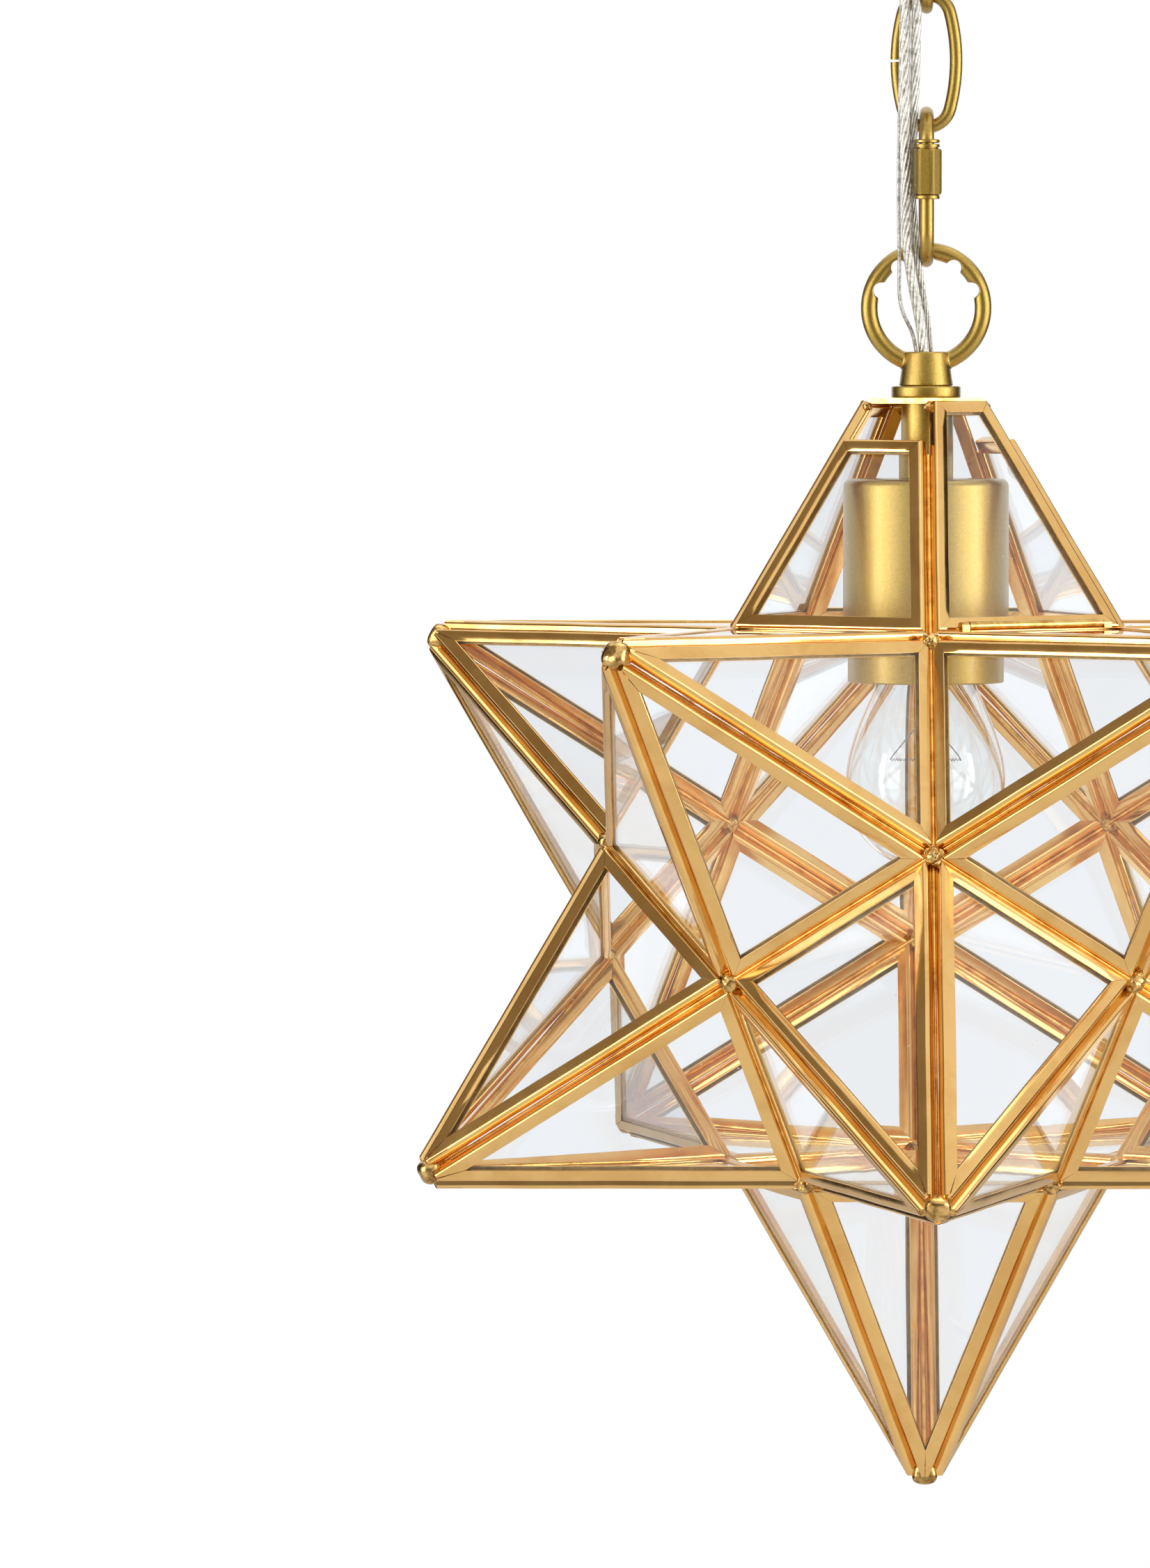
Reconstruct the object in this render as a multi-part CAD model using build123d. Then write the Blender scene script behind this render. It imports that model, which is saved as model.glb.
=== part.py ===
from build123d import *
import os
from math import acos, atan2, cos, degrees, pi, radians, sin, sqrt, tan

os.makedirs("parts", exist_ok=True)

# A twelve-pointed glass star on a short chain. Origin at the ceiling, +Z up, millimetres.

# ---- star ----
STAR_R = 174.0        # centre to the ideal, uncut tip of a point
CHANNEL_T = 4.0       # across the folded channel, the thickness of a framed pane
CHANNEL_W = 4.0       # flange width seen on each face
SHEET = 0.5           # brass sheet the channel is folded from
GLASS_T = CHANNEL_T - 2 * SHEET
SEAM_GAP = 0.03       # left between two channels that meet along an edge
TIP_CUT = 6.4         # axial length cut off each point for its solder cap
GLASS_TIP_CUT = 10.0  # length of solid channel left at a pane's sharp end
CAP_R = 4.5           # sphere radius of a tip's solder cap
CAP_SINK = 0.6        # how far the cap's centre lies below the cut
JOINT_R = 3.7         # solder lump at an inner corner

# ---- lid, the top point ----
TOP_CUT = 29.0        # the tall frames' upper edges to the ideal tip over them
VENT_DROP = 11.2      # how much lower the two short frames end
PLATE_R = 17.6        # circumradius of the five-sided top plate
PLATE_T = 1.6
SHORT_PANES = (0, 2)  # which sides of the lid stop short, counted from the front left

# ---- hinge along the lid's front right edge ----
HINGE_SIDE = 1
HINGE_TUBE_R = 1.2
HINGE_ROD_R = 0.6
HINGE_CLEARANCE = 0.06
HINGE_LENGTH = 48.0
FOOT_L = 2.6
HINGE_LIFT = 0.1      # tube to the star's panes, which turn past it

# ---- socket, stem and bulb ----
THREAD_R = 5.0        # lamp pipe, outside
PIPE_BORE_R = 3.3
STEM_R = 7.15
STEM_WALL = 0.7
STEM_L = 23.6         # the tall frames' upper edges to the cup's top
CUP_R = 23.25
CUP_H = 58.9
CUP_WALL = 1.0
CUP_NUT_H = 3.4
CUP_EDGE_R = 2.2
SOCKET_R = 19.0
SHELL_R = 14.2        # screw shell, outside
SHELL_WALL = 0.5
SOCKET_H = 17.0       # socket's top to the underside of its floor
CONTACT_L = 2.4       # socket's floor to the bulb's tip
SHELL_L = 32.5        # socket's floor to its screw shell's lower end
SKIRT_L = 34.0        # and to its own lower rim
BULB_R = 23.7
BULB_BELLY = 24.9     # bulb's lowest point to its widest
BULB_LENGTH = 88.0
BASE_R = 13.2
BASE_L = 24.0
BULB_WALL = 0.7
MOUNT_L = 23.6        # the bulb's inner glass mount
COIL_DROP = 12.0      # mount's end to the coil

# ---- cast loops ----
RING_R = 18.9         # outside
RING_BAR_R = 2.45
NOTCH_R = 2.25
NOTCH_PITCH = 34.5    # degrees between the scalloped seats
NECK_R = 7.85
NECK_TOP_R = 6.4
NECK_H = 9.9
RING_RISE = 22.6      # neck base to ring centre
COLLAR_R = 10.05
COLLAR_H = 3.4

# ---- chain ----
LINK_L, LINK_W, LINK_BAR_R = 41.9, 20.8, 1.85
LINK_END_R = 7.0      # bar centre line at a link's ends
LINK_SPLIT = 0.7
QUICK_L, QUICK_W, QUICK_BAR_R = 46.4, 21.0, 2.05
NUT_AF, NUT_L, NUT_RING_R = 7.45, 15.8, 3.7
NUT_GAP = 0.6
QUICK_OPEN = 7.0      # gap in the quick link's side, under its nut
TOUCH = 0.05          # left where one chain piece hangs on the next

# ---- canopy and crossbar ----
CANOPY_R, CANOPY_H, CANOPY_WALL = 62.5, 25.0, 1.0
BAR_L, BAR_W, BAR_T = 104.0, 22.0, 2.0
SLOT_PITCH, SLOT_L, SLOT_R = 79.4, 25.0, 2.3
LOCKNUT_AF, LOCKNUT_H = 14.0, 4.0

# ---- cords ----
FLEX_R = 2.0
GROUND_R = 0.55

# ---- heights that follow, from the ceiling down ----
SEAT = RING_R - 2 * RING_BAR_R + NOTCH_R           # ring centre to the floor of a seat


def bend_drop(bar_centre_r):
    """How far a bent bar strays from straight across the width of a ring's bar."""
    return bar_centre_r - sqrt(bar_centre_r**2 - RING_BAR_R**2)


UP_RING_Z = -CANOPY_H - COLLAR_H - RING_RISE
UPPER_TOP_Z = UP_RING_Z - SEAT + LINK_BAR_R + bend_drop(LINK_END_R) + 3 * TOUCH
UPPER_BOTTOM_Z = UPPER_TOP_Z - (LINK_L - 2 * LINK_BAR_R)
LOWER_TOP_Z = UPPER_BOTTOM_Z + 2 * LINK_BAR_R + TOUCH
LOWER_BOTTOM_Z = LOWER_TOP_Z - (LINK_L - 2 * LINK_BAR_R)
QUICK_TOP_Z = LOWER_BOTTOM_Z + LINK_BAR_R + QUICK_BAR_R + TOUCH
QUICK_BOTTOM_Z = QUICK_TOP_Z - (QUICK_L - 2 * QUICK_BAR_R)
QUICK_END_R = QUICK_W / 2 - QUICK_BAR_R
RING_Z = QUICK_BOTTOM_Z - (SEAT - QUICK_BAR_R - bend_drop(QUICK_END_R) - 3 * TOUCH)
PLATE_TOP_Z = RING_Z - RING_RISE - COLLAR_H

# ---- heights over the star's centre ----
LID_TOP = STAR_R - TOP_CUT
VENT_TOP = LID_TOP - VENT_DROP
CUP_TOP = LID_TOP - STEM_L
CUP_BOTTOM = CUP_TOP - CUP_H
SOCKET_TOP = CUP_TOP - CUP_WALL - CUP_NUT_H
SHELL_FLOOR = SOCKET_TOP - SOCKET_H
BULB_TOP = SHELL_FLOOR - CONTACT_L
BULB_BOTTOM = BULB_TOP - BULB_LENGTH
BULB_WIDEST = BULB_BOTTOM + BULB_BELLY

# ---- star geometry ----
PHI = (1 + sqrt(5)) / 2
EDGE = STAR_R * 0.401622                          # edge of the inner dodecahedron
CORNER_R = EDGE * sqrt(3) * PHI / 2               # its corners from the centre
FACE_R = EDGE / (2 * sin(pi / 5))                 # circumradius of one of its faces
FACE_H = STAR_R / sqrt(5)                         # its faces from the centre
FACE_IN = EDGE / (2 * tan(pi / 5))
PANE_H = EDGE / 2 * tan(radians(72))              # pane from base to sharp end
LEAN_UP = (STAR_R - FACE_H) / PANE_H              # rise of a pane along its height
LEAN_IN = FACE_IN / PANE_H                        # and how far that leans inward
INSET = CHANNEL_T / 2 / PHI + SEAM_GAP            # pane's edge from the ideal edge

plate_edge = FACE_IN - LEAN_IN * (LID_TOP - FACE_H - LEAN_IN * CHANNEL_T / 2) / LEAN_UP
plate_edge += LEAN_UP * CHANNEL_T / 2             # radius of the tall frames' upper edges
PLATE_UNDER = LID_TOP - (plate_edge - PLATE_R * cos(pi / 5)) * LEAN_IN / LEAN_UP + 0.02
STAR_Z = PLATE_TOP_Z - PLATE_UNDER - PLATE_T
CENTRE = Vector(0, 0, STAR_Z)


def unit(v):
    return v * (1 / v.length)


def polar(r, azimuth, z=0.0):
    return Vector(r * cos(radians(azimuth)), r * sin(radians(azimuth)), z)


RING_TIP_R = STAR_R * 2 / sqrt(5)
TIPS = {
    "lid": Vector(0, 0, STAR_R),
    "upper_front_left": polar(RING_TIP_R, -126, FACE_H),
    "upper_front_right": polar(RING_TIP_R, -54, FACE_H),
    "upper_right": polar(RING_TIP_R, 18, FACE_H),
    "upper_back": polar(RING_TIP_R, 90, FACE_H),
    "upper_left": polar(RING_TIP_R, 162, FACE_H),
    "lower_front": polar(RING_TIP_R, -90, -FACE_H),
    "lower_right": polar(RING_TIP_R, -18, -FACE_H),
    "lower_back_right": polar(RING_TIP_R, 54, -FACE_H),
    "lower_back_left": polar(RING_TIP_R, 126, -FACE_H),
    "lower_left": polar(RING_TIP_R, -162, -FACE_H),
    "bottom": Vector(0, 0, -STAR_R),
}


def neighbours(tip):
    """The five tips next to this one, in order round it, from the front left."""
    axis = unit(tip)
    near = [t for t in TIPS.values() if abs(unit(t).dot(axis) - 1 / sqrt(5)) < 0.01]
    first = near[0] - axis * near[0].dot(axis)
    side = axis.cross(unit(first))
    return sorted(near, key=lambda t: (atan2(t.dot(side), t.dot(unit(first))) + 0.1) % (2 * pi))


def inner_corner(*three):
    return unit(three[0] + three[1] + three[2]) * CORNER_R


def pane_planes(tip):
    """One plane for each pane of a point: x along its base, y to the tip, z outward."""
    around = neighbours(tip)
    planes = []
    for i, t in enumerate(around):
        a = inner_corner(tip, around[i - 1], t)
        b = inner_corner(tip, t, around[(i + 1) % 5])
        middle = (a + b) * 0.5
        planes.append(Plane(CENTRE + middle, x_dir=unit(b - a), z_dir=unit((b - a).cross(tip - middle))))
    return planes


def outline(inset, top=None):
    """A pane's triangle drawn in by inset on its sides, cut straight at height top."""
    slope = tan(radians(18))
    apex = PANE_H - inset / sin(radians(18))
    half = (apex - inset) * slope
    if top is None:
        return make_face(Polyline((-half, inset), (half, inset), (0, apex), close=True))
    narrow = (apex - top) * slope
    return make_face(Polyline((-half, inset), (half, inset), (narrow, top), (-narrow, top), close=True))


def slab(face, thickness):
    return extrude(Pos(0, 0, -thickness / 2) * face, thickness)


def tip_side(beyond):
    """The half-space past a cut square to a point's axis, in a pane's own frame."""
    across = Plane(origin=(0, PANE_H - beyond / LEAN_UP, 0), x_dir=(1, 0, 0), z_dir=(0, LEAN_UP, LEAN_IN))
    return across.location * Pos(0, 0, 20) * Box(60, 60, 40)


def framed_pane(top=None):
    """One folded channel mitred round one pane, and the glass in its groove."""
    if top is None:
        rim, glass_top, window = outline(INSET), PANE_H - GLASS_TIP_CUT, outline(INSET + CHANNEL_W)
    else:
        rim, glass_top = outline(INSET, top), top - SHEET
        window = outline(INSET + CHANNEL_W, top - CHANNEL_W)
    glass = slab(outline(INSET + SHEET, glass_top), GLASS_T)
    frame = slab(rim, CHANNEL_T) - slab(window, CHANNEL_T + 2) - glass
    if top is None:
        frame -= tip_side(TIP_CUT)
    return frame, glass


def solids(shapes):
    found = []
    for shape in shapes:
        found += shape.solids()
    return Compound(found)


def placed(shape, planes):
    return [plane.location * shape for plane in planes]


frame, glass = framed_pane()
framed = {}
for name, tip in TIPS.items():
    if name != "lid":
        framed[name] = placed(frame, pane_planes(tip))
        export_step(Compound([s for f in framed[name] for s in f.solids()]), f"parts/frames_{name}.step")
        export_step(solids(placed(glass, pane_planes(tip))), f"parts/glass_{name}.step")

# The lid's panes: two stop short of the plate and leave vents over the bulb.
lid_planes = pane_planes(TIPS["lid"])
tall_y = (LID_TOP - FACE_H - LEAN_IN * CHANNEL_T / 2) / LEAN_UP
short_y = (VENT_TOP - FACE_H - LEAN_IN * CHANNEL_T / 2) / LEAN_UP
lid_pairs = [framed_pane(short_y if i in SHORT_PANES else tall_y) for i in range(5)]
lid_frames = [p.location * pair[0] for p, pair in zip(lid_planes, lid_pairs)]
export_step(solids(lid_frames), "parts/lid_frames.step")
export_step(solids([p.location * pair[1] for p, pair in zip(lid_planes, lid_pairs)]), "parts/lid_glass.step")

# ---- solder: caps on the tips, lumps in the inner corners ----
cap = Pos(0, 0, -TIP_CUT - CAP_SINK) * Sphere(CAP_R)
cap -= Pos(0, 0, -TIP_CUT - 10) * Box(30, 30, 20)
body_tips = {name: tip for name, tip in TIPS.items() if name != "lid"}
export_step(
    solids([Plane(CENTRE + t, z_dir=unit(t)).location * cap for t in body_tips.values()]),
    "parts/tip_caps.step",
)


def lump(radius):
    """A twenty-sided lump whose corners point at the tips."""
    directions = [unit(t) * radius for t in TIPS.values()]
    faces = []
    for i, a in enumerate(directions):
        for j in range(i + 1, 12):
            for k in range(j + 1, 12):
                b, c = directions[j], directions[k]
                if min(a.dot(b), b.dot(c), a.dot(c)) > 0.4 * radius**2:
                    faces.append(Face(Wire.make_polygon([a, b, c])))
    return Solid(Shell(faces))


def biggest(shape):
    return max(shape.solids(), key=lambda s: s.volume)


joint_lump = lump(JOINT_R)
lumps, seen = [], []
for name, tip in TIPS.items():
    around = neighbours(tip)
    for i, t in enumerate(around):
        three = (tip, around[i - 1], t)
        corner = inner_corner(*three)
        if any((corner - other).length < 1 for other in seen):
            continue
        seen.append(corner)
        on_lid = any(abs(p.Z - STAR_R) < 1 for p in three)
        touching = [f for n, p in TIPS.items() if n != "lid" and any((p - q).length < 1 for q in three)
                    for f in framed[n]
                    if (f.bounding_box().center() - CENTRE - corner).length < STAR_R]
        where = CENTRE + corner + unit(corner) * 0.6
        if on_lid:
            # Joints under the lid stay outside the corner that the lid comes down on.
            outward = unit(Vector(corner.X, corner.Y, 0))
            where = CENTRE + corner + outward * 2.6 - Vector(0, 0, 0.6)
            keep = Plane(CENTRE + corner + outward * 2.1, z_dir=outward).location * Pos(0, 0, 10) * Box(30, 30, 20)
            piece = (Pos(*where) * joint_lump) & keep
        else:
            piece = Pos(*where) * joint_lump
        lumps.append(biggest(piece - touching))
export_step(Compound(lumps), "parts/solder_joints.step")

# ---- top plate, its solder, collar and the cast loops ----
z_plate = STAR_Z + PLATE_UNDER
plate = Pos(0, 0, z_plate) * extrude(RegularPolygon(PLATE_R, 5, rotation=-90), PLATE_T)
plate -= Pos(0, 0, z_plate) * Cylinder(THREAD_R, 4 * PLATE_T)
export_step(plate, "parts/lid_plate.step")

dots = []
for i in range(5):
    at = polar(PLATE_R + 0.4, -90 + 72 * i, z_plate - 0.9)
    dots.append(biggest((Pos(*at) * lump(2.2)) - lid_frames - plate))
export_step(Compound(dots), "parts/lid_solder.step")


def cast_loop():
    """Ring with scalloped seats on a tapered neck, its base at z = 0, bored for the cord."""
    bar = Plane.YZ * Pos(0, -(RING_R - RING_BAR_R)) * Circle(RING_BAR_R)
    ring = Rot(0, 15, 0) * revolve(bar, Axis.Y, 330)      # its two ends lie inside the neck
    for i in range(-2, 3):
        seat = Rot(0, i * NOTCH_PITCH, 0) * Pos(0, 0, RING_R - 2 * RING_BAR_R)
        ring -= seat * Rot(90, 0, 0) * Cylinder(NOTCH_R, 4 * RING_BAR_R)
    neck = Pos(0, 0, NECK_H / 2) * Cone(NECK_R, NECK_TOP_R, NECK_H)
    loop = neck + Pos(0, 0, RING_RISE) * ring
    loop -= Pos(0, 0, NECK_H) * Cylinder(PIPE_BORE_R, 3 * NECK_H)
    loop -= Cylinder(THREAD_R, 2 * (NECK_H - 3))
    return biggest(loop)


loop = cast_loop()
collar = Cylinder(COLLAR_R, COLLAR_H, align=(Align.CENTER, Align.CENTER, Align.MIN))
collar = chamfer(collar.edges().filter_by(GeomType.CIRCLE), 0.35)
collar -= Cylinder(THREAD_R, 4 * COLLAR_H)
export_step(Pos(0, 0, RING_Z - RING_RISE) * loop, "parts/lid_loop.step")
export_step(Pos(0, 0, PLATE_TOP_Z) * collar, "parts/lid_collar.step")
export_step(Pos(0, 0, UP_RING_Z + RING_RISE) * Rot(180, 0, 0) * loop, "parts/canopy_loop.step")
export_step(Pos(0, 0, -CANOPY_H - COLLAR_H) * collar, "parts/canopy_collar.step")


def pipe(outer, inner, bottom, top):
    ring = Cylinder(outer, top - bottom) - Cylinder(inner, top - bottom + 2)
    return Pos(0, 0, (top + bottom) / 2) * ring


def hex_nut(flats, bore, bottom, top, turn=0):
    shape = extrude(RegularPolygon(flats / 2, 6, major_radius=False, rotation=turn), top - bottom)
    ends = Cylinder(flats * 0.565, top - bottom, align=(Align.CENTER, Align.CENTER, Align.MIN))
    shape &= chamfer(ends.edges().filter_by(GeomType.CIRCLE), flats * 0.05)
    return Pos(0, 0, bottom) * (shape - Cylinder(bore, 4 * (top - bottom)))


# ---- pipe, stem, cup and socket ----
pipe_top = RING_Z - RING_RISE + NECK_H - 3
export_step(pipe(THREAD_R, PIPE_BORE_R, STAR_Z + SHELL_FLOOR + 8, pipe_top), "parts/lid_pipe.step")
export_step(pipe(STEM_R, STEM_R - STEM_WALL, STAR_Z + CUP_TOP, z_plate), "parts/stem_tube.step")

cup = Pos(0, 0, (CUP_TOP + CUP_BOTTOM) / 2) * Cylinder(CUP_R, CUP_TOP - CUP_BOTTOM)
cup = fillet(cup.edges().filter_by(GeomType.CIRCLE).sort_by(Axis.Z)[-1], CUP_EDGE_R)
hollow_top = CUP_TOP - CUP_WALL
hollow = Pos(0, 0, (hollow_top + CUP_BOTTOM) / 2 - 1) * Cylinder(CUP_R - CUP_WALL, hollow_top - CUP_BOTTOM + 2)
cup -= fillet(hollow.edges().filter_by(GeomType.CIRCLE).sort_by(Axis.Z)[-1], CUP_EDGE_R - CUP_WALL)
cup -= Pos(0, 0, CUP_TOP) * Cylinder(THREAD_R, 6 * CUP_WALL)
export_step(Pos(0, 0, STAR_Z) * cup, "parts/socket_cup.step")

nut_top = STAR_Z + hollow_top
export_step(hex_nut(LOCKNUT_AF, THREAD_R, STAR_Z + SOCKET_TOP, nut_top), "parts/cup_locknut.step")

socket_profile = Polyline(
    (THREAD_R, SHELL_FLOOR + 8), (THREAD_R, SOCKET_TOP), (THREAD_R + 5, SOCKET_TOP),
    (SOCKET_R - 4, SHELL_FLOOR + 8), (SOCKET_R, SHELL_FLOOR + 4), (SOCKET_R, SHELL_FLOOR - SKIRT_L),
    (SHELL_R, SHELL_FLOOR - SKIRT_L), (SHELL_R, SHELL_FLOOR), (0, SHELL_FLOOR), (0, SHELL_FLOOR + 6),
    (PIPE_BORE_R, SHELL_FLOOR + 6), (PIPE_BORE_R, SHELL_FLOOR + 8), close=True,
)
socket = revolve(make_face(Plane.XZ * socket_profile), Axis.Z)
export_step(Pos(0, 0, STAR_Z) * socket, "parts/socket_body.step")
shell = pipe(SHELL_R, SHELL_R - SHELL_WALL, SHELL_FLOOR - SHELL_L, SHELL_FLOOR)
export_step(Pos(0, 0, STAR_Z) * shell, "parts/socket_shell.step")
contact_l = CONTACT_L - 0.3
contact = Pos(0, 0, SHELL_FLOOR - contact_l / 2) * Cylinder(4, contact_l)
contact += Pos(3.5, 0, SHELL_FLOOR - 0.4) * Box(12, 5, 0.8)
export_step(Pos(0, 0, STAR_Z) * contact, "parts/socket_contact.step")
leads_top = pipe_top - 7
leads_bottom = STAR_Z + SHELL_FLOOR + 6
leads = [Pos(x, 0, (leads_top + leads_bottom) / 2) * Cylinder(0.9, leads_top - leads_bottom)
         for x in (-1.1, 1.1)]
export_step(solids(leads), "parts/socket_leads.step")

# ---- bulb ----
base_bottom = BULB_TOP - BASE_L


def bulb_outline(shrink):
    """Envelope from the base down to the round end, drawn in by shrink."""
    neck = BASE_R - 1.0 - shrink
    upper = Line((neck, base_bottom + 2), (neck, base_bottom - 1)) + Spline(
        (neck, base_bottom - 1), (neck + 2.4, base_bottom - 10), (BULB_R - shrink, BULB_WIDEST),
        tangents=((0, -1), (0, -1)),
    )
    lower = Spline(
        (BULB_R - shrink, BULB_WIDEST), (0, BULB_BOTTOM + shrink), tangents=((0, -1), (-1, 0)),
        tangent_scalars=(0.82, 1.15),
    )
    sides = upper + lower + Line((0, BULB_BOTTOM + shrink), (0, base_bottom + 2))
    return make_face(Plane.XZ * (sides + Line((0, base_bottom + 2), (neck, base_bottom + 2))))


envelope = revolve(bulb_outline(0), Axis.Z) - revolve(bulb_outline(BULB_WALL), Axis.Z)
export_step(Pos(0, 0, STAR_Z) * biggest(envelope), "parts/bulb_envelope.step")
neck_r = BASE_R - 1.0
crests = 5
pitch = 3.6
points = [(neck_r, base_bottom), (BASE_R - 0.4, base_bottom)]
for i in range(crests):
    low = base_bottom + 2.2 + i * pitch
    points += [(BASE_R - 0.9, low), (BASE_R, low + pitch / 2)]
points += [(BASE_R - 0.9, base_bottom + 2.2 + crests * pitch), (4.8, BULB_TOP - 1.4), (4.2, BULB_TOP)]
points += [(0, BULB_TOP), (0, BULB_TOP - 3.4), (neck_r, base_bottom + 2.2 + crests * pitch - 1.6)]
base = revolve(make_face(Plane.XZ * Polyline(*points, close=True)), Axis.Z)
export_step(Pos(0, 0, STAR_Z) * base, "parts/bulb_base.step")

mount_top = base_bottom + 2
mount_end = mount_top - MOUNT_L
coil_z = mount_end - COIL_DROP
mount_profile = Polyline(
    (0, mount_top), (neck_r - BULB_WALL - 0.1, mount_top), (4.2, mount_top - 8), (2.4, mount_top - 14),
    (2.0, mount_end), (0, mount_end), close=True,
)
export_step(Pos(0, 0, STAR_Z) * revolve(make_face(Plane.XZ * mount_profile), Axis.Z), "parts/bulb_mount.step")
coil_half = 11.0
filament = []
for side in (-1, 1):
    run = Vector(side * (coil_half - 2.2), 0, coil_z - mount_end)
    at = Plane(origin=(side * 2.2, 0, mount_end), z_dir=unit(run))
    filament.append(at.location * Cylinder(0.35, run.length, align=(Align.CENTER, Align.CENTER, Align.MIN)))
filament.append(Pos(0, 0, coil_z) * Rot(0, 90, 0) * Cylinder(0.5, 2 * coil_half + 0.6))
hooks = filament[0] + filament[1] + filament[2]
hooks += Pos(-2.2, 0, mount_end + 1) * Cylinder(0.35, 2) + Pos(2.2, 0, mount_end + 1) * Cylinder(0.35, 2)
hooks -= revolve(make_face(Plane.XZ * mount_profile), Axis.Z)
export_step(Pos(0, 0, STAR_Z) * solids([hooks]), "parts/bulb_filament.step")

# ---- hinge: tube soldered to the lid, rod on two feet of the star ----
side_plane = lid_planes[HINGE_SIDE]
along = side_plane.x_dir
outward = unit(Vector(side_plane.z_dir.X, side_plane.z_dir.Y, 0))
seam_out = FACE_IN + INSET                      # radius where lid and star channels meet
surface_z = STAR_Z + FACE_H + CHANNEL_T / 2     # upper face of the star's level panes
lift = HINGE_TUBE_R + HINGE_LIFT
reach = (HINGE_TUBE_R + lift * LEAN_IN) / LEAN_UP
HINGE_AT = outward * (seam_out + reach) + Vector(0, 0, surface_z + lift)
hinge_line = Plane(origin=HINGE_AT, x_dir=outward, z_dir=along)
tube = Cylinder(HINGE_TUBE_R, HINGE_LENGTH) - Cylinder(HINGE_ROD_R + HINGE_CLEARANCE, HINGE_LENGTH + 2)
export_step(hinge_line.location * tube, "parts/hinge_tube.step")
rod_l = HINGE_LENGTH + 2 * (FOOT_L + 0.4)
rod = Cylinder(HINGE_ROD_R, rod_l)
for end in (-1, 1):
    foot_z = end * (HINGE_LENGTH / 2 + 0.3 + FOOT_L / 2)
    # The plane's y points down or up: the foot reaches from the rod to the star's panes.
    down = -1 if hinge_line.y_dir.Z > 0 else 1
    rod += Pos(0.35, down * lift / 2, foot_z) * Box(1.5, lift, FOOT_L)
    rod += Pos(0, 0, foot_z) * Cylinder(HINGE_TUBE_R - 0.15, FOOT_L)
export_step(hinge_line.location * rod, "parts/hinge_rod.step")

# ---- spring catch opposite the hinge ----
catch_az = degrees(atan2(-outward.Y, -outward.X))
at = Plane(origin=CENTRE + polar(0, 0), x_dir=polar(1, catch_az), z_dir=(0, 0, 1))
ridge_top = FACE_H + CHANNEL_T / 2
strip_r = FACE_R + 2.6
strip = Polyline(
    (strip_r, ridge_top - 1.0), (strip_r + 0.6, ridge_top - 1.0), (strip_r + 0.6, ridge_top + 3.4),
    (strip_r - 0.9, ridge_top + 5.2), (strip_r - 1.5, ridge_top + 4.9), (strip_r, ridge_top + 3.2),
    close=True,
)
catch = extrude(make_face(Plane.XZ * strip), 1.6, both=True)
catch = at.location * catch
export_step(solids([catch - lid_frames - Compound(lumps)]), "parts/spring_catch.step")


# ---- chain ----
def oval(length, width, end_r):
    """Half of a link's centre line as arcs, from the middle of one side round to the other."""
    a, b = width / 2, length / 2
    side_r = (a**2 + (b - end_r) ** 2 - end_r**2) / (2 * (a - end_r))
    turn = degrees(atan2(b - end_r, side_r - a))
    return a, b, side_r, turn


def chain_link():
    a, b, side_r, turn = oval(LINK_L - 2 * LINK_BAR_R, LINK_W - 2 * LINK_BAR_R, LINK_END_R)
    skip = degrees(LINK_SPLIT / 2 / side_r)
    arcs = []
    near = (-(a - side_r), 0)
    arcs.append(CenterArc(near, side_r, 180 - skip, -(turn - skip)))
    arcs.append(CenterArc((0, b - LINK_END_R), LINK_END_R, 180 - turn, -(180 - 2 * turn)))
    arcs.append(CenterArc((a - side_r, 0), side_r, turn, -2 * turn))
    arcs.append(CenterArc((0, -(b - LINK_END_R)), LINK_END_R, -turn, -(180 - 2 * turn)))
    arcs.append(CenterArc(near, side_r, 180 + turn, -(turn - skip)))
    path = Plane.XZ * Wire(arcs)
    start = path @ 0
    section = Plane(origin=start, z_dir=path % 0) * Circle(LINK_BAR_R)
    return sweep(section, path=path)


def link_centre(top):
    return Pos(0, 0, top - (LINK_L / 2 - LINK_BAR_R))


export_step(link_centre(UPPER_TOP_Z) * Rot(0, 0, 90) * chain_link(), "parts/upper_chain_link.step")
export_step(link_centre(LOWER_TOP_Z) * chain_link(), "parts/lower_chain_link.step")

# The quick link stands in the YZ plane with its open side and its nut towards the front.
leg = QUICK_W / 2 - QUICK_BAR_R
half = (QUICK_L - QUICK_W) / 2
nut_top_z = half - NUT_GAP
open_at = nut_top_z - NUT_L / 2 - QUICK_OPEN / 2
arcs = [
    Line((-leg, open_at), (-leg, -half)),
    CenterArc((0, -half), leg, 180, 180),
    Line((leg, -half), (leg, half)),
    CenterArc((0, half), leg, 0, 180),
    Line((-leg, half), (-leg, open_at + QUICK_OPEN)),
]
path = Plane.YZ * Wire(arcs)
section = Plane(origin=path @ 0, z_dir=path % 0) * Circle(QUICK_BAR_R)
quick = sweep(section, path=path)
quick += Pos(0, -leg, half + 0.3) * Cylinder(3.5, 0.9, align=(Align.CENTER, Align.CENTER, Align.MIN))
QUICK_MID_Z = (QUICK_TOP_Z + QUICK_BOTTOM_Z) / 2
export_step(Pos(0, 0, QUICK_MID_Z) * quick, "parts/quick_link.step")
bore = QUICK_BAR_R + 0.07
nut = hex_nut(NUT_AF, bore, nut_top_z - NUT_L + 1.3, nut_top_z - 1.0, turn=20)
for low, high in ((nut_top_z - NUT_L, nut_top_z - NUT_L + 1.3), (nut_top_z - 1.0, nut_top_z)):
    nut += pipe(NUT_RING_R, bore, low, high)
export_step(Pos(0, -leg, QUICK_MID_Z) * nut, "parts/quick_link_nut.step")

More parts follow.
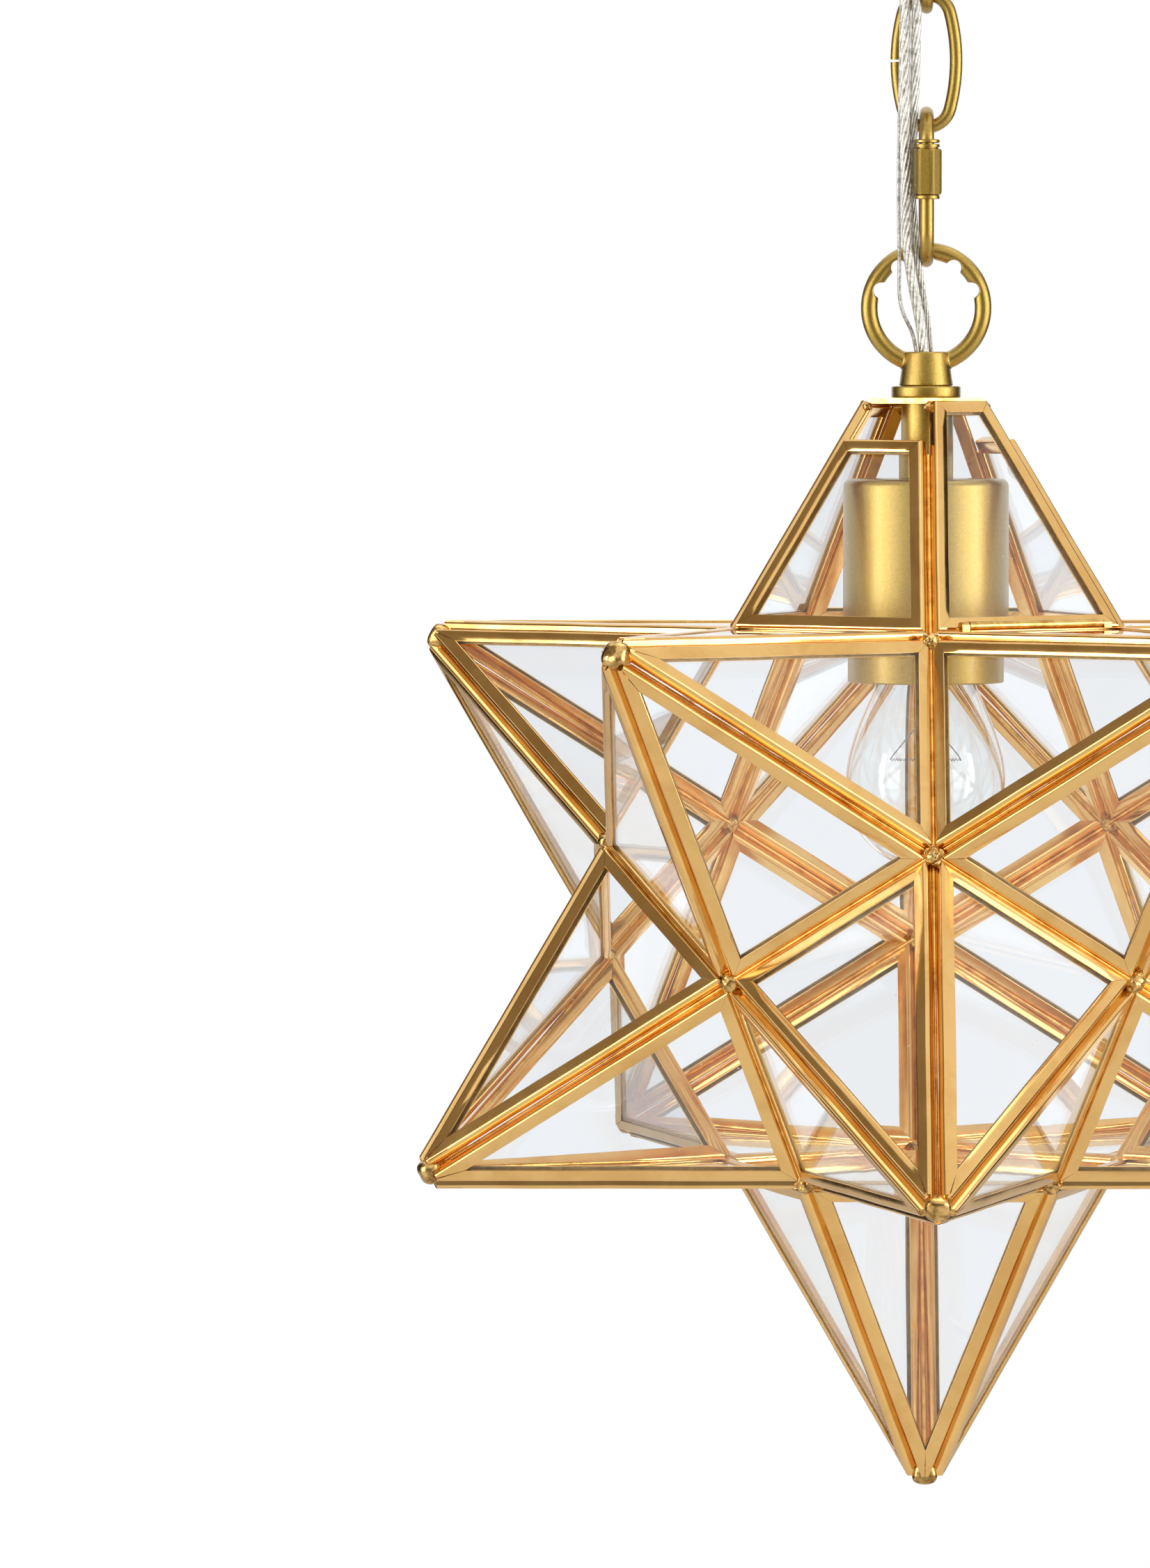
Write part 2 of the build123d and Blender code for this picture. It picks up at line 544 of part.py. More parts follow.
# ---- canopy and crossbar ----
profile = (
    Line((CANOPY_R, 0), (CANOPY_R, -3))
    + Spline((CANOPY_R, -3), (CANOPY_R - 12, -17), (22, -CANOPY_H), tangents=((0, -1), (-1, 0)))
    + Line((22, -CANOPY_H), (THREAD_R, -CANOPY_H))
    + Line((THREAD_R, -CANOPY_H), (THREAD_R, -CANOPY_H + CANOPY_WALL))
    + Line((THREAD_R, -CANOPY_H + CANOPY_WALL), (22, -CANOPY_H + CANOPY_WALL))
    + Spline(
        (22, -CANOPY_H + CANOPY_WALL), (CANOPY_R - 12.6, -16.2), (CANOPY_R - CANOPY_WALL, -3),
        tangents=((1, 0), (0, 1)),
    )
    + Line((CANOPY_R - CANOPY_WALL, -3), (CANOPY_R - CANOPY_WALL, 0))
    + Line((CANOPY_R - CANOPY_WALL, 0), (CANOPY_R, 0))
)
export_step(revolve(make_face(Plane.XZ * profile), Axis.Z), "parts/canopy.step")

bar = extrude(SlotOverall(BAR_L, BAR_W), -BAR_T)
for side in (-1, 1):
    bar -= Pos(side * SLOT_PITCH / 2, 0, 0) * extrude(SlotOverall(SLOT_L, 2 * SLOT_R), BAR_T * 2, both=True)
bar -= Cylinder(THREAD_R, BAR_T * 4)
export_step(bar, "parts/crossbar.step")
canopy_pipe_end = -CANOPY_H - COLLAR_H - NECK_H + 3
export_step(pipe(THREAD_R, PIPE_BORE_R, canopy_pipe_end, -0.5), "parts/canopy_pipe.step")
nuts = [
    hex_nut(LOCKNUT_AF, THREAD_R, -BAR_T - LOCKNUT_H, -BAR_T),
    hex_nut(LOCKNUT_AF, THREAD_R, -CANOPY_H + CANOPY_WALL, -CANOPY_H + CANOPY_WALL + LOCKNUT_H),
]
export_step(solids(nuts), "parts/canopy_nuts.step")
screw_at = 15.0
screw = Pos(screw_at, 0, -BAR_T - 1.1) * Cylinder(4.2, 2.2) - Pos(screw_at, 0, -BAR_T - 2.2) * Box(10, 1.0, 1.4)
export_step(screw, "parts/ground_screw.step")


# ---- cords ----
def tube_along(points, radius, label):
    """A round cord along straight runs joined by arcs, which prints its tightest bend."""
    points = [Vector(*p) for p in points]
    runs = [points[i + 1] - points[i] for i in range(len(points) - 1)]
    radii = []
    for one, two in zip(runs, runs[1:]):
        turn = acos(max(-1, min(1, unit(one).dot(unit(two)))))
        radii.append(0.45 * min(one.length, two.length) / tan(turn / 2))
    path = FilletPolyline(*points, radius=radii)
    wire = path.wire() if hasattr(path, "wire") else Wire(path.edges())
    tube = sweep(Plane(origin=points[0], z_dir=unit(runs[0])) * Circle(radius), path=wire)
    print(f"{label}: length {wire.length:.1f}, runs {[round(r.length, 1) for r in runs]},"
          f" radii {[round(r, 1) for r in radii]}, volume {tube.volume:.0f}"
          f" against {pi * radius**2 * wire.length:.0f}")
    return tube


def by_ring(x, y, up):
    """A point of a cord's route, its height counted from the lower ring's centre."""
    return (x, y, RING_Z + up)


neck_exit = RING_Z - RING_RISE + NECK_H
upper_exit = UP_RING_Z + RING_RISE - NECK_H
upper_bend = UP_RING_Z - 14.5
FLEX_X, GROUND_X = 0.3, -2.3          # where the two cords lie in the bores
flex_route = [
    (FLEX_X, 0, leads_top), (FLEX_X, 0, neck_exit + 3),
    by_ring(-4.3, -5.2, 13.1), by_ring(-5.5, -4.7, 36.6), by_ring(-4.6, -4.8, 78.6),
    (-4.4, -5.3, upper_bend), (FLEX_X, 0, upper_exit - 2.6), (FLEX_X, 0, -1.0),
]
export_step(tube_along(flex_route, FLEX_R, "supply cord"), "parts/supply_cord.step")
ground_route = [
    (GROUND_X, 0, leads_top), (GROUND_X, -0.1, neck_exit + 3), by_ring(-8.0, -3.6, 0.1),
    by_ring(-7.8, -5.2, 12.6), by_ring(-8.2, -4.9, 36.6), by_ring(-7.4, -4.9, 78.6),
    (-7.2, -5.4, upper_bend), (GROUND_X, -0.1, upper_exit - 2.2), (GROUND_X, 0, -1.0),
]
export_step(tube_along(ground_route, GROUND_R, "ground wire"), "parts/ground_wire.step")

print("star centre z", round(STAR_Z, 3), "plate top", round(PLATE_TOP_Z, 3), "ring z", round(RING_Z, 3))
print("hinge at", tuple(round(v, 3) for v in HINGE_AT), "axis", tuple(round(v, 4) for v in along))
print("upper/lower/quick tops", UPPER_TOP_Z, LOWER_TOP_Z, QUICK_TOP_Z, "bottoms", UPPER_BOTTOM_Z,
      LOWER_BOTTOM_Z, QUICK_BOTTOM_Z, "canopy ring", UP_RING_Z)
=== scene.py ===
"""A clear glass star on a short chain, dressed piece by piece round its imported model."""
import logging
import math
import random
from dataclasses import dataclass, field
from enum import Enum
from typing import Iterable, Optional, Sequence

import bmesh
import bpy
import numpy as np
from mathutils import Matrix, Vector
from mathutils import noise as fields


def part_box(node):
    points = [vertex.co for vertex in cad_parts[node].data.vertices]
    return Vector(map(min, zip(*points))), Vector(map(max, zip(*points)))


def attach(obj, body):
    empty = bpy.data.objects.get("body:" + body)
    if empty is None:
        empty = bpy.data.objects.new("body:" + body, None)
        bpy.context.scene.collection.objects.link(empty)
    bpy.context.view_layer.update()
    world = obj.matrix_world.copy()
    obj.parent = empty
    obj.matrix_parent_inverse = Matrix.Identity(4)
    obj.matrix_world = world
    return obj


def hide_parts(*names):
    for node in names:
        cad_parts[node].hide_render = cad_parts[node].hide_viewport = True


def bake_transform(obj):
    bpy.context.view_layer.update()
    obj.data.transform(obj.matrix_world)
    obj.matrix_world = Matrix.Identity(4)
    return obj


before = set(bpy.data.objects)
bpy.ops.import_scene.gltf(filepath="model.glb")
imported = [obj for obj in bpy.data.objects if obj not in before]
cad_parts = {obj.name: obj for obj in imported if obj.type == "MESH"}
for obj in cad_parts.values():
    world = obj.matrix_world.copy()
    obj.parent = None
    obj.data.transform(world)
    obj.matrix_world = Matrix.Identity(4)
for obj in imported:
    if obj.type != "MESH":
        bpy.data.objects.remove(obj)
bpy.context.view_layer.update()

LOG = logging.getLogger("star_pendant")
MM = 0.001
PHI = (1 + math.sqrt(5)) / 2
Pair = tuple[float, float]
Triple = tuple[float, float, float]
Tree = bpy.types.NodeTree
Socket = bpy.types.NodeSocket
Thing = bpy.types.Object
ON_AXIS = 0.02         # millimetres from a turned piece's axis to its innermost points
UV_PER_METRE = 10.0    # surface coordinates along a skin
UV_CLOSING = 0.001     # metres given to the last face of a skin that joins up


class Body(Enum):
    """The moving bodies that pieces ride on."""

    CEILING = "ceiling_fitting"
    UPPER_LINK = "upper_link"
    LOWER_LINK = "lower_link"
    HOOK = "quick_link_hook"
    SLEEVE = "quick_link_sleeve"
    LID = "lid"
    BULB = "bulb"
    STAR = "star_body"


class Coat(Enum):
    """How a metal's surface was left, which sets the pattern of its bump."""

    ROLLED = "rolled"
    CAST = "cast"
    SATIN = "satin"


# ---------------------------------------------------------------------------------------------
# Node and mesh tools
# ---------------------------------------------------------------------------------------------


def linear(code: str) -> tuple[float, float, float, float]:
    """Turns an sRGB hex colour into Blender's linear values.

    Args:
        code: six hex digits after a hash.

    Returns:
        Linear red, green and blue, and an alpha of 1.
    """
    parts = [int(code[i : i + 2], 16) / 255 for i in (1, 3, 5)]
    red, green, blue = (p / 12.92 if p <= 0.04045 else ((p + 0.055) / 1.055) ** 2.4 for p in parts)
    return red, green, blue, 1.0


def add(
    tree: Tree,
    kind: str,
    links: Optional[dict] = None,
    inputs: Optional[dict] = None,
    **settings: object,
) -> bpy.types.Node:
    """Adds a node with its settings, values and links.

    Args:
        tree: the node tree it goes into.
        kind: Blender's name for the type of node, without its ShaderNode.
        links: input socket to the output socket that feeds it.
        inputs: input socket to its value.
        **settings: properties of the node itself.

    Returns:
        The new node.
    """
    made = tree.nodes.new(f"ShaderNode{kind}")
    for name, value in settings.items():
        setattr(made, name, value)
    for socket, value in (inputs or {}).items():
        made.inputs[socket].default_value = value
    for socket, source in (links or {}).items():
        tree.links.new(source, made.inputs[socket])
    return made


def per_metre(size_mm: float) -> float:
    """The texture scale whose features are size_mm across on object coordinates."""
    return 1000.0 / size_mm


def speckle(
    tree: Tree,
    place: Socket,
    size_mm: float,
    detail: float,
    roughness: float = 0.5,
    distortion: float = 0.0,
) -> Socket:
    """Adds a noise pattern.

    Args:
        tree: the node tree it goes into.
        place: the coordinates that it follows.
        size_mm: how large its patches are.
        detail: how many finer layers it has.
        roughness: how strong those are.
        distortion: how far the patches are swirled.

    Returns:
        Its grey value.
    """
    made = add(
        tree, "TexNoise", {"Vector": place},
        {"Scale": per_metre(size_mm), "Detail": detail, "Roughness": roughness,
         "Distortion": distortion},
    )
    return made.outputs["Fac"]


def two_tones(
    tree: Tree, share: Socket, low: tuple[str, float], high: tuple[str, float]
) -> Socket:
    """Adds a ramp from one colour to another.

    Args:
        tree: the node tree it goes into.
        share: the grey value that it reads.
        low: the first colour, and the value up to which it holds.
        high: the second colour, and the value from which it holds.

    Returns:
        The colour.
    """
    ramp = add(tree, "ValToRGB", {"Fac": share})
    for stop, (code, position) in zip(ramp.color_ramp.elements, (low, high)):
        stop.position = position
        stop.color = linear(code)
    return ramp.outputs["Color"]


def bump(
    tree: Tree, height: Socket, depth_mm: float, strength: float = 1.0
) -> Socket:
    """Adds a bump of a real depth.

    Args:
        tree: the node tree it goes into.
        height: the pattern, from 0 to 1.
        depth_mm: how deep the pattern goes.
        strength: the share of it that shows.

    Returns:
        The bumped normal.
    """
    values = {"Strength": strength, "Distance": depth_mm * MM}
    return add(tree, "Bump", {"Height": height}, values).outputs["Normal"]


def new_material(name: str) -> tuple[bpy.types.Material, Tree]:
    """Makes a material without nodes.

    Args:
        name: the material's name.

    Returns:
        The material and its node tree.
    """
    made = bpy.data.materials.new(name)
    made.use_nodes = True
    made.node_tree.nodes.clear()
    return made, made.node_tree


def new_object(name: str, data: bpy.types.ID) -> Thing:
    """Makes an object in the scene.

    Args:
        name: the object's name.
        data: the mesh, curve, camera or light that it holds.

    Returns:
        The new object.
    """
    made = bpy.data.objects.new(name, data)
    bpy.context.scene.collection.objects.link(made)
    return made


def hand_to(made: Thing, body: Body, node: str) -> None:
    """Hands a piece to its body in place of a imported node.

    Args:
        made: the piece.
        body: the body that it rides on.
        node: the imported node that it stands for.
    """
    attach(made, body.value)
    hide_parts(node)


def run_along(points: np.ndarray) -> np.ndarray:
    """How far along a line each of its points lies.

    Args:
        points: points by three.

    Returns:
        One length for each point, from 0.
    """
    steps = np.linalg.norm(np.diff(points, axis=0), axis=1)
    return np.concatenate([[0], np.cumsum(steps)])


@dataclass
class Sketch:
    """Points, faces and surface coordinates that become one mesh."""

    points: list = field(default_factory=list)
    faces: list = field(default_factory=list)
    surface: list = field(default_factory=list)

    def grid(
        self, rows: np.ndarray, along: bool = False, offset: Pair = (0.0, 0.0)
    ) -> None:
        """Adds a skin over rows of points, each of which closes on itself.

        Args:
            rows: stations by points by three, in metres.
            along: whether the last row joins the first. Otherwise both end rows are filled.
            offset: shift of the surface coordinates.
        """
        count, per = rows.shape[:2]
        start = len(self.points)
        self.points.extend(rows.reshape(-1, 3).tolist())
        middle = rows[count // 2]
        run = run_along(rows[:, 0])
        across = run_along(np.vstack([middle, middle[:1]])) * UV_PER_METRE + offset[1]
        for i in range(count if along else count - 1):
            j = (i + 1) % count
            here, there = start + i * per, start + j * per
            a = run[i] * UV_PER_METRE + offset[0]
            b = (run[j] if j else run[i] + UV_CLOSING) * UV_PER_METRE + offset[0]
            for k in range(per):
                m = (k + 1) % per
                c, d = across[k], across[k + 1]
                self.faces.append((here + k, here + m, there + m, there + k))
                self.surface.append(((a, c), (a, d), (b, d), (b, c)))
        if not along:
            last = start + (count - 1) * per
            self.faces.append(tuple(range(start + per - 1, start - 1, -1)))
            self.faces.append(tuple(range(last, last + per)))
            self.surface += [tuple((offset[0], offset[1] + 0.001 * k) for k in range(per))] * 2

    def mesh(self, name: str, crease: float) -> Thing:
        """Makes the object, smooth but for edges sharper than crease degrees.

        Args:
            name: the object's name.
            crease: the angle in degrees over which an edge stays sharp.

        Returns:
            The new object, linked to the scene.
        """
        data = bpy.data.meshes.new(name)
        data.from_pydata(self.points, [], self.faces)
        layer = data.uv_layers.new(name="surface")
        layer.data.foreach_set("uv", [c for face in self.surface for uv in face for c in uv])
        return soften(new_object(name, data), crease)


def soften(obj: Thing, crease: float) -> Thing:
    """Shades an object smooth, but for edges over crease degrees, with its faces turned outward.

    Args:
        obj: a mesh object.
        crease: the angle in degrees.

    Returns:
        The same object.
    """
    shape = bmesh.new()
    shape.from_mesh(obj.data)
    bmesh.ops.recalc_face_normals(shape, faces=shape.faces)
    shape.to_mesh(obj.data)
    shape.free()
    obj.data.shade_smooth()
    obj.data.set_sharp_from_angle(angle=math.radians(crease))
    return obj


def lathe(profile: Sequence[Pair], centre: Vector, turns: int) -> Sketch:
    """Turns a closed profile round a vertical line.

    Args:
        profile: radius and height pairs in millimetres, closed by themselves.
        centre: the line's foot, in metres.
        turns: steps round.

    Returns:
        The sketch, ready to become a mesh.
    """
    made = Sketch()
    angles = np.linspace(0, 2 * math.pi, turns, endpoint=False)
    shape = np.array(profile) * MM
    rows = np.zeros((turns, len(shape), 3))
    rows[:, :, 0] = np.cos(angles)[:, None] * shape[:, 0] + centre.x
    rows[:, :, 1] = np.sin(angles)[:, None] * shape[:, 0] + centre.y
    rows[:, :, 2] = shape[:, 1] + centre.z
    made.grid(rows, along=True)
    return made


def arc(
    centre: Pair, radius: float, start: float, end: float, steps: int
) -> list[Pair]:
    """Points along an arc.

    Args:
        centre: its centre.
        radius: its radius.
        start: first angle in degrees.
        end: last angle in degrees.
        steps: how many parts it has.

    Returns:
        The points, both ends among them.
    """
    turns = [math.radians(start + (end - start) * i / steps) for i in range(steps + 1)]
    return [(centre[0] + radius * math.cos(t), centre[1] + radius * math.sin(t)) for t in turns]


def bezier(controls: Sequence[Pair], steps: int) -> list[Pair]:
    """Points along a cubic curve.

    Args:
        controls: its four control points.
        steps: how many parts it has.

    Returns:
        The points, both ends among them.
    """
    found = []
    for i in range(steps + 1):
        t = i / steps
        weights = ((1 - t) ** 3, 3 * (1 - t) ** 2 * t, 3 * (1 - t) * t * t, t**3)
        found.append(tuple(sum(w * p[k] for w, p in zip(weights, controls)) for k in (0, 1)))
    return found


def frames_along(path: np.ndarray) -> tuple[np.ndarray, np.ndarray]:
    """Side and up directions that follow a path without twisting.

    Args:
        path: points by three.

    Returns:
        Two arrays of unit vectors, both square to the path.
    """
    heading = np.gradient(path, axis=0)
    heading /= np.linalg.norm(heading, axis=1)[:, None]
    helper = np.eye(3)[int(np.argmin(np.abs(heading[0])))]
    side = np.cross(heading[0], helper)
    sides = []
    for h in heading:
        side = side - h * side.dot(h)
        side = side / np.linalg.norm(side)
        sides.append(side)
    sides = np.array(sides)
    return sides, np.cross(heading, sides)


def tube(sketch: Sketch, path: np.ndarray, radius: float | np.ndarray, steps: int) -> None:
    """Adds a round bar along a path to a sketch.

    Args:
        sketch: the sketch it is added to.
        path: points by three, in metres.
        radius: one radius, or one for each point, in metres.
        steps: points round the bar.
    """
    sides, ups = frames_along(path)
    around = np.linspace(0, 2 * math.pi, steps, endpoint=False)[None, :, None]
    reach = np.broadcast_to(np.asarray(radius, dtype=float), (len(path),))[:, None, None]
    ring = np.cos(around) * sides[:, None, :] + np.sin(around) * ups[:, None, :]
    sketch.grid(path[:, None, :] + reach * ring)


def dress(obj: Thing, material: bpy.types.Material) -> Thing:
    """Gives an object one material in place of what it had."""
    obj.data.materials.clear()
    obj.data.materials.append(material)
    return obj


def dress_node(name: str, material: bpy.types.Material) -> None:
    """Puts a material into a carried-over node's slots."""
    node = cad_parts[name]
    for held in node.material_slots:
        held.material = material
    if not node.material_slots:
        node.data.materials.append(material)


# ---------------------------------------------------------------------------------------------
# Finishes
# ---------------------------------------------------------------------------------------------


@dataclass(frozen=True)
class Metal:
    """A metal surface with mottled tone, uneven polish and a fine bump."""

    name: str
    light: str
    dark: str
    roughness: float
    roughness_spread: float
    patch_mm: float
    grain_mm: float
    grain_depth_mm: float
    coat: Coat
    dark_share: float = 0.35
    line_share: float = 0.02
    lines_across: float = 60.0
    line_mm: float = 120.0
    lacquer: float = 0.0
    lacquer_roughness: float = 0.3

    def build(self) -> bpy.types.Material:
        """Makes the material.

        Returns:
            The node material.
        """
        made, tree = new_material(self.name)
        where = add(tree, "TexCoord")
        place = where.outputs["Object"]
        patches = speckle(tree, place, self.patch_mm, 5.0, 0.62, 0.6)
        dark_to, light_from = 0.5 - 0.42 * self.dark_share, 0.5 + 0.2 * self.dark_share
        tone = two_tones(tree, patches, (self.dark, dark_to), (self.light, light_from))
        fine = speckle(tree, place, self.patch_mm * 0.3, 3.0, 0.6)
        polish = add(
            tree, "MapRange", {"Value": fine},
            {"From Min": 0.3, "From Max": 0.72, "To Min": self.roughness,
             "To Max": self.roughness + self.roughness_spread},
        )
        relief = bump(tree, self.height(tree, where), self.grain_depth_mm)
        shader = add(
            tree, "BsdfPrincipled",
            {"Base Color": tone, "Roughness": polish.outputs["Result"], "Normal": relief},
            {"Metallic": 1.0, "Coat Weight": self.lacquer, "Coat Roughness": self.lacquer_roughness},
        )
        add(tree, "OutputMaterial", {"Surface": shader.outputs["BSDF"]})
        return made

    def height(self, tree: Tree, where: bpy.types.Node) -> Socket:
        """Adds the pattern of the coat's bump.

        Args:
            tree: the node tree it goes into.
            where: a texture coordinate node.

        Returns:
            The height, from about 0 to 1.
        """
        place = where.outputs["Object"]
        if self.coat is Coat.SATIN:
            return speckle(tree, place, self.grain_mm, 2.0, 0.7)
        if self.coat is Coat.CAST:
            pits = add(
                tree, "TexVoronoi", {"Vector": place}, {"Scale": per_metre(self.grain_mm)},
                feature="SMOOTH_F1",
            )
            lumps = speckle(tree, place, self.grain_mm * 1.6, 4.0)
            both = add(tree, "Math", {0: pits.outputs["Distance"], 1: lumps}, operation="ADD")
            return both.outputs[0]
        drawn = add(
            tree, "Mapping", {"Vector": where.outputs["UV"]},
            {"Scale": (1.0, self.lines_across, 1.0)},
        )
        lines = speckle(tree, drawn.outputs["Vector"], self.line_mm, 3.0, 0.6)
        dents = speckle(tree, place, self.grain_mm, 3.0)
        both = add(
            tree, "Math", {0: lines, 2: dents}, {1: self.line_share}, operation="MULTIPLY_ADD",
        )
        return both.outputs[0]


@dataclass(frozen=True)
class ClearGlass:
    """Glass that light goes straight through on its way to what lies behind."""

    name: str
    tint: str
    ior: float
    ripple_mm: float
    ripple_depth_mm: float
    dust: float
    mote_gap_mm: float = 6.0

    def build(self) -> bpy.types.Material:
        """Makes the material.

        Returns:
            The node material.
        """
        made, tree = new_material(self.name)
        place = add(tree, "TexCoord").outputs["Object"]
        relief = bump(tree, speckle(tree, place, self.ripple_mm, 1.5, 0.4), self.ripple_depth_mm)
        motes = add(
            tree, "TexVoronoi", {"Vector": place}, {"Scale": per_metre(self.mote_gap_mm)},
            feature="F1",
        )
        film = add(
            tree, "MapRange", {"Value": motes.outputs["Distance"]},
            {"From Min": 0.045, "From Max": 0.02, "To Min": 0.0, "To Max": self.dust},
        )
        shader = add(
            tree, "BsdfPrincipled", {"Normal": relief, "Roughness": film.outputs["Result"]},
            {"Base Color": linear(self.tint), "IOR": self.ior, "Transmission Weight": 1.0},
        )
        light = add(tree, "LightPath")
        clear = add(tree, "BsdfTransparent", None, {"Color": linear(self.tint)})
        mixed = add(
            tree, "MixShader",
            {0: light.outputs["Is Shadow Ray"], 1: shader.outputs["BSDF"], 2: clear.outputs["BSDF"]},
        )
        add(tree, "OutputMaterial", {"Surface": mixed.outputs["Shader"]})
        return made


@dataclass(frozen=True)
class Moulded:
    """A glazed, moulded or enamelled surface with a soft mottle."""

    name: str
    light: str
    dark: str
    roughness: float
    ior: float
    patch_mm: float
    coat_weight: float

    def build(self) -> bpy.types.Material:
        """Makes the material.

        Returns:
            The node material.
        """
        made, tree = new_material(self.name)
        place = add(tree, "TexCoord").outputs["Object"]
        mottle = speckle(tree, place, self.patch_mm, 4.0, 0.6)
        tone = two_tones(tree, mottle, (self.dark, 0.35), (self.light, 0.6))
        skin = bump(tree, mottle, 0.05, 0.4)
        shader = add(
            tree, "BsdfPrincipled", {"Base Color": tone, "Normal": skin},
            {"Roughness": self.roughness, "IOR": self.ior, "Coat Weight": self.coat_weight,
             "Coat Roughness": 0.08},
        )
        add(tree, "OutputMaterial", {"Surface": shader.outputs["BSDF"]})
        return made


@dataclass
class Palette:
    """Every finish of the lamp, made once."""

    # Brass sheet rolled, folded and gold plated: a soft mirror, with draw lines and shallow dents.
    channel: Metal = Metal(
        "gold_plated_folded_brass", "#ECC07A", "#DFAF69", 0.1, 0.08, 24.0, 9.0, 0.03, Coat.ROLLED)
    # The same sheet's inner face, which the plating bath hardly reached: dull and pale.
    inside: Metal = Metal(
        "dull_inner_brass", "#E6CB94", "#CDAE74", 0.55, 0.2, 5.0, 2.0, 0.03, Coat.CAST)
    # Tin solder plated with the channels: rounded, lightly pitted and darker in patches.
    solder: Metal = Metal(
        "gold_plated_pitted_solder", "#DDB46E", "#8C6839", 0.1, 0.2, 3.2, 2.4, 0.1, Coat.CAST)
    # The same solder where it ran down a groove: a smooth fillet, bright as the channel.
    seam: Metal = Metal(
        "gold_plated_run_solder", "#F2C873", "#C89243", 0.1, 0.12, 7.0, 4.5, 0.04, Coat.CAST)
    # Drawn brass tube and rod, plated: smooth and a little darker.
    hinge: Metal = Metal(
        "gold_plated_drawn_brass", "#E2B96C", "#B98A42", 0.14, 0.12, 4.0, 3.0, 0.03, Coat.CAST)
    # Blued spring steel, nearly black, with a soft gloss.
    spring: Metal = Metal(
        "blued_spring_steel", "#4A4038", "#231D18", 0.3, 0.15, 3.0, 1.5, 0.02, Coat.CAST)
    # Steel and zinc castings sprayed with aged-gold lacquer: satin, with a sparkle grain.
    aged_gold: Metal = Metal(
        "aged_gold_sprayed_lacquer", "#BB9A40", "#93752A", 0.28, 0.1, 0.5, 0.34, 0.06, Coat.SATIN,
        dark_share=0.8, lacquer=0.8, lacquer_roughness=0.26)
    # Zinc-plated steel, rolled: pale grey with a cloudy spangle.
    zinc: Metal = Metal(
        "zinc_plated_steel", "#C9CBCD", "#9C9EA1", 0.28, 0.15, 2.4, 1.2, 0.03, Coat.CAST)
    # Thin brass rolled to a screw shell: bright, with fine wear.
    shell: Metal = Metal(
        "rolled_shell_brass", "#E2C27A", "#B08A4A", 0.22, 0.15, 3.0, 1.5, 0.03, Coat.CAST)
    # Tungsten wire coiled: dark grey, softly glossy.
    tungsten: Metal = Metal(
        "coiled_tungsten_wire", "#B4B2B0", "#7C7A78", 0.35, 0.15, 1.0, 0.5, 0.01, Coat.CAST)
    # Tinned copper strands twisted: silvery, lighter and darker in patches.
    tinned: Metal = Metal(
        "twisted_tinned_copper", "#DDDBD5", "#A9A6A0", 0.16, 0.12, 1.6, 4.0, 0.01, Coat.CAST)
    # Float glass, cut and cleaned: clear, faintly cool, with rare seeds.
    pane: ClearGlass = ClearGlass("cut_float_glass", "#F6F8FA", 1.47, 34.0, 0.035, 0.35)
    # Soda-lime glass blown into a bulb: thin and clear.
    blown: ClearGlass = ClearGlass("blown_bulb_glass", "#FBFCFB", 1.45, 16.0, 0.02, 0.2)
    # PVC jacket extruded over the strands: clear and glossy.
    jacket: ClearGlass = ClearGlass("extruded_clear_pvc", "#F8F7F2", 1.34, 14.0, 0.02, 0.1)
    # Porcelain fired with a clear glaze.
    porcelain: Moulded = Moulded("glazed_porcelain", "#EDEBE4", "#DEDAD0", 0.18, 1.5, 12.0, 0.6)
    # Green enamelled screw head.
    enamel: Moulded = Moulded("green_enamelled_steel", "#2B7A40", "#1D5A2E", 0.3, 1.5, 2.0, 0.4)
    # PVC wire insulation, extruded: dark and matt.
    insulation: Moulded = Moulded("extruded_black_pvc", "#2A2A2A", "#1A1A1A", 0.5, 1.46, 3.0, 0.0)
    ready: dict = field(default_factory=dict)

    def get(self, name: str) -> bpy.types.Material:
        """The built material of one finish."""
        if name not in self.ready:
            self.ready[name] = getattr(self, name).build()
        return self.ready[name]


# ---------------------------------------------------------------------------------------------
# The star
# ---------------------------------------------------------------------------------------------


def unit(v: Vector) -> Vector:
    """The vector at length one."""
    return v.normalized()


def half_angle(corner: np.ndarray, one: np.ndarray, two: np.ndarray) -> float:
    """Half the angle at a corner.

    Args:
        corner: the corner.
        one: a point on one side from it.
        two: a point on the other side.

    Returns:
        The angle in radians, at which a mitre is cut.
    """
    a, b = one - corner, two - corner
    return math.acos(float(a @ b) / float(np.linalg.norm(a) * np.linalg.norm(b))) / 2


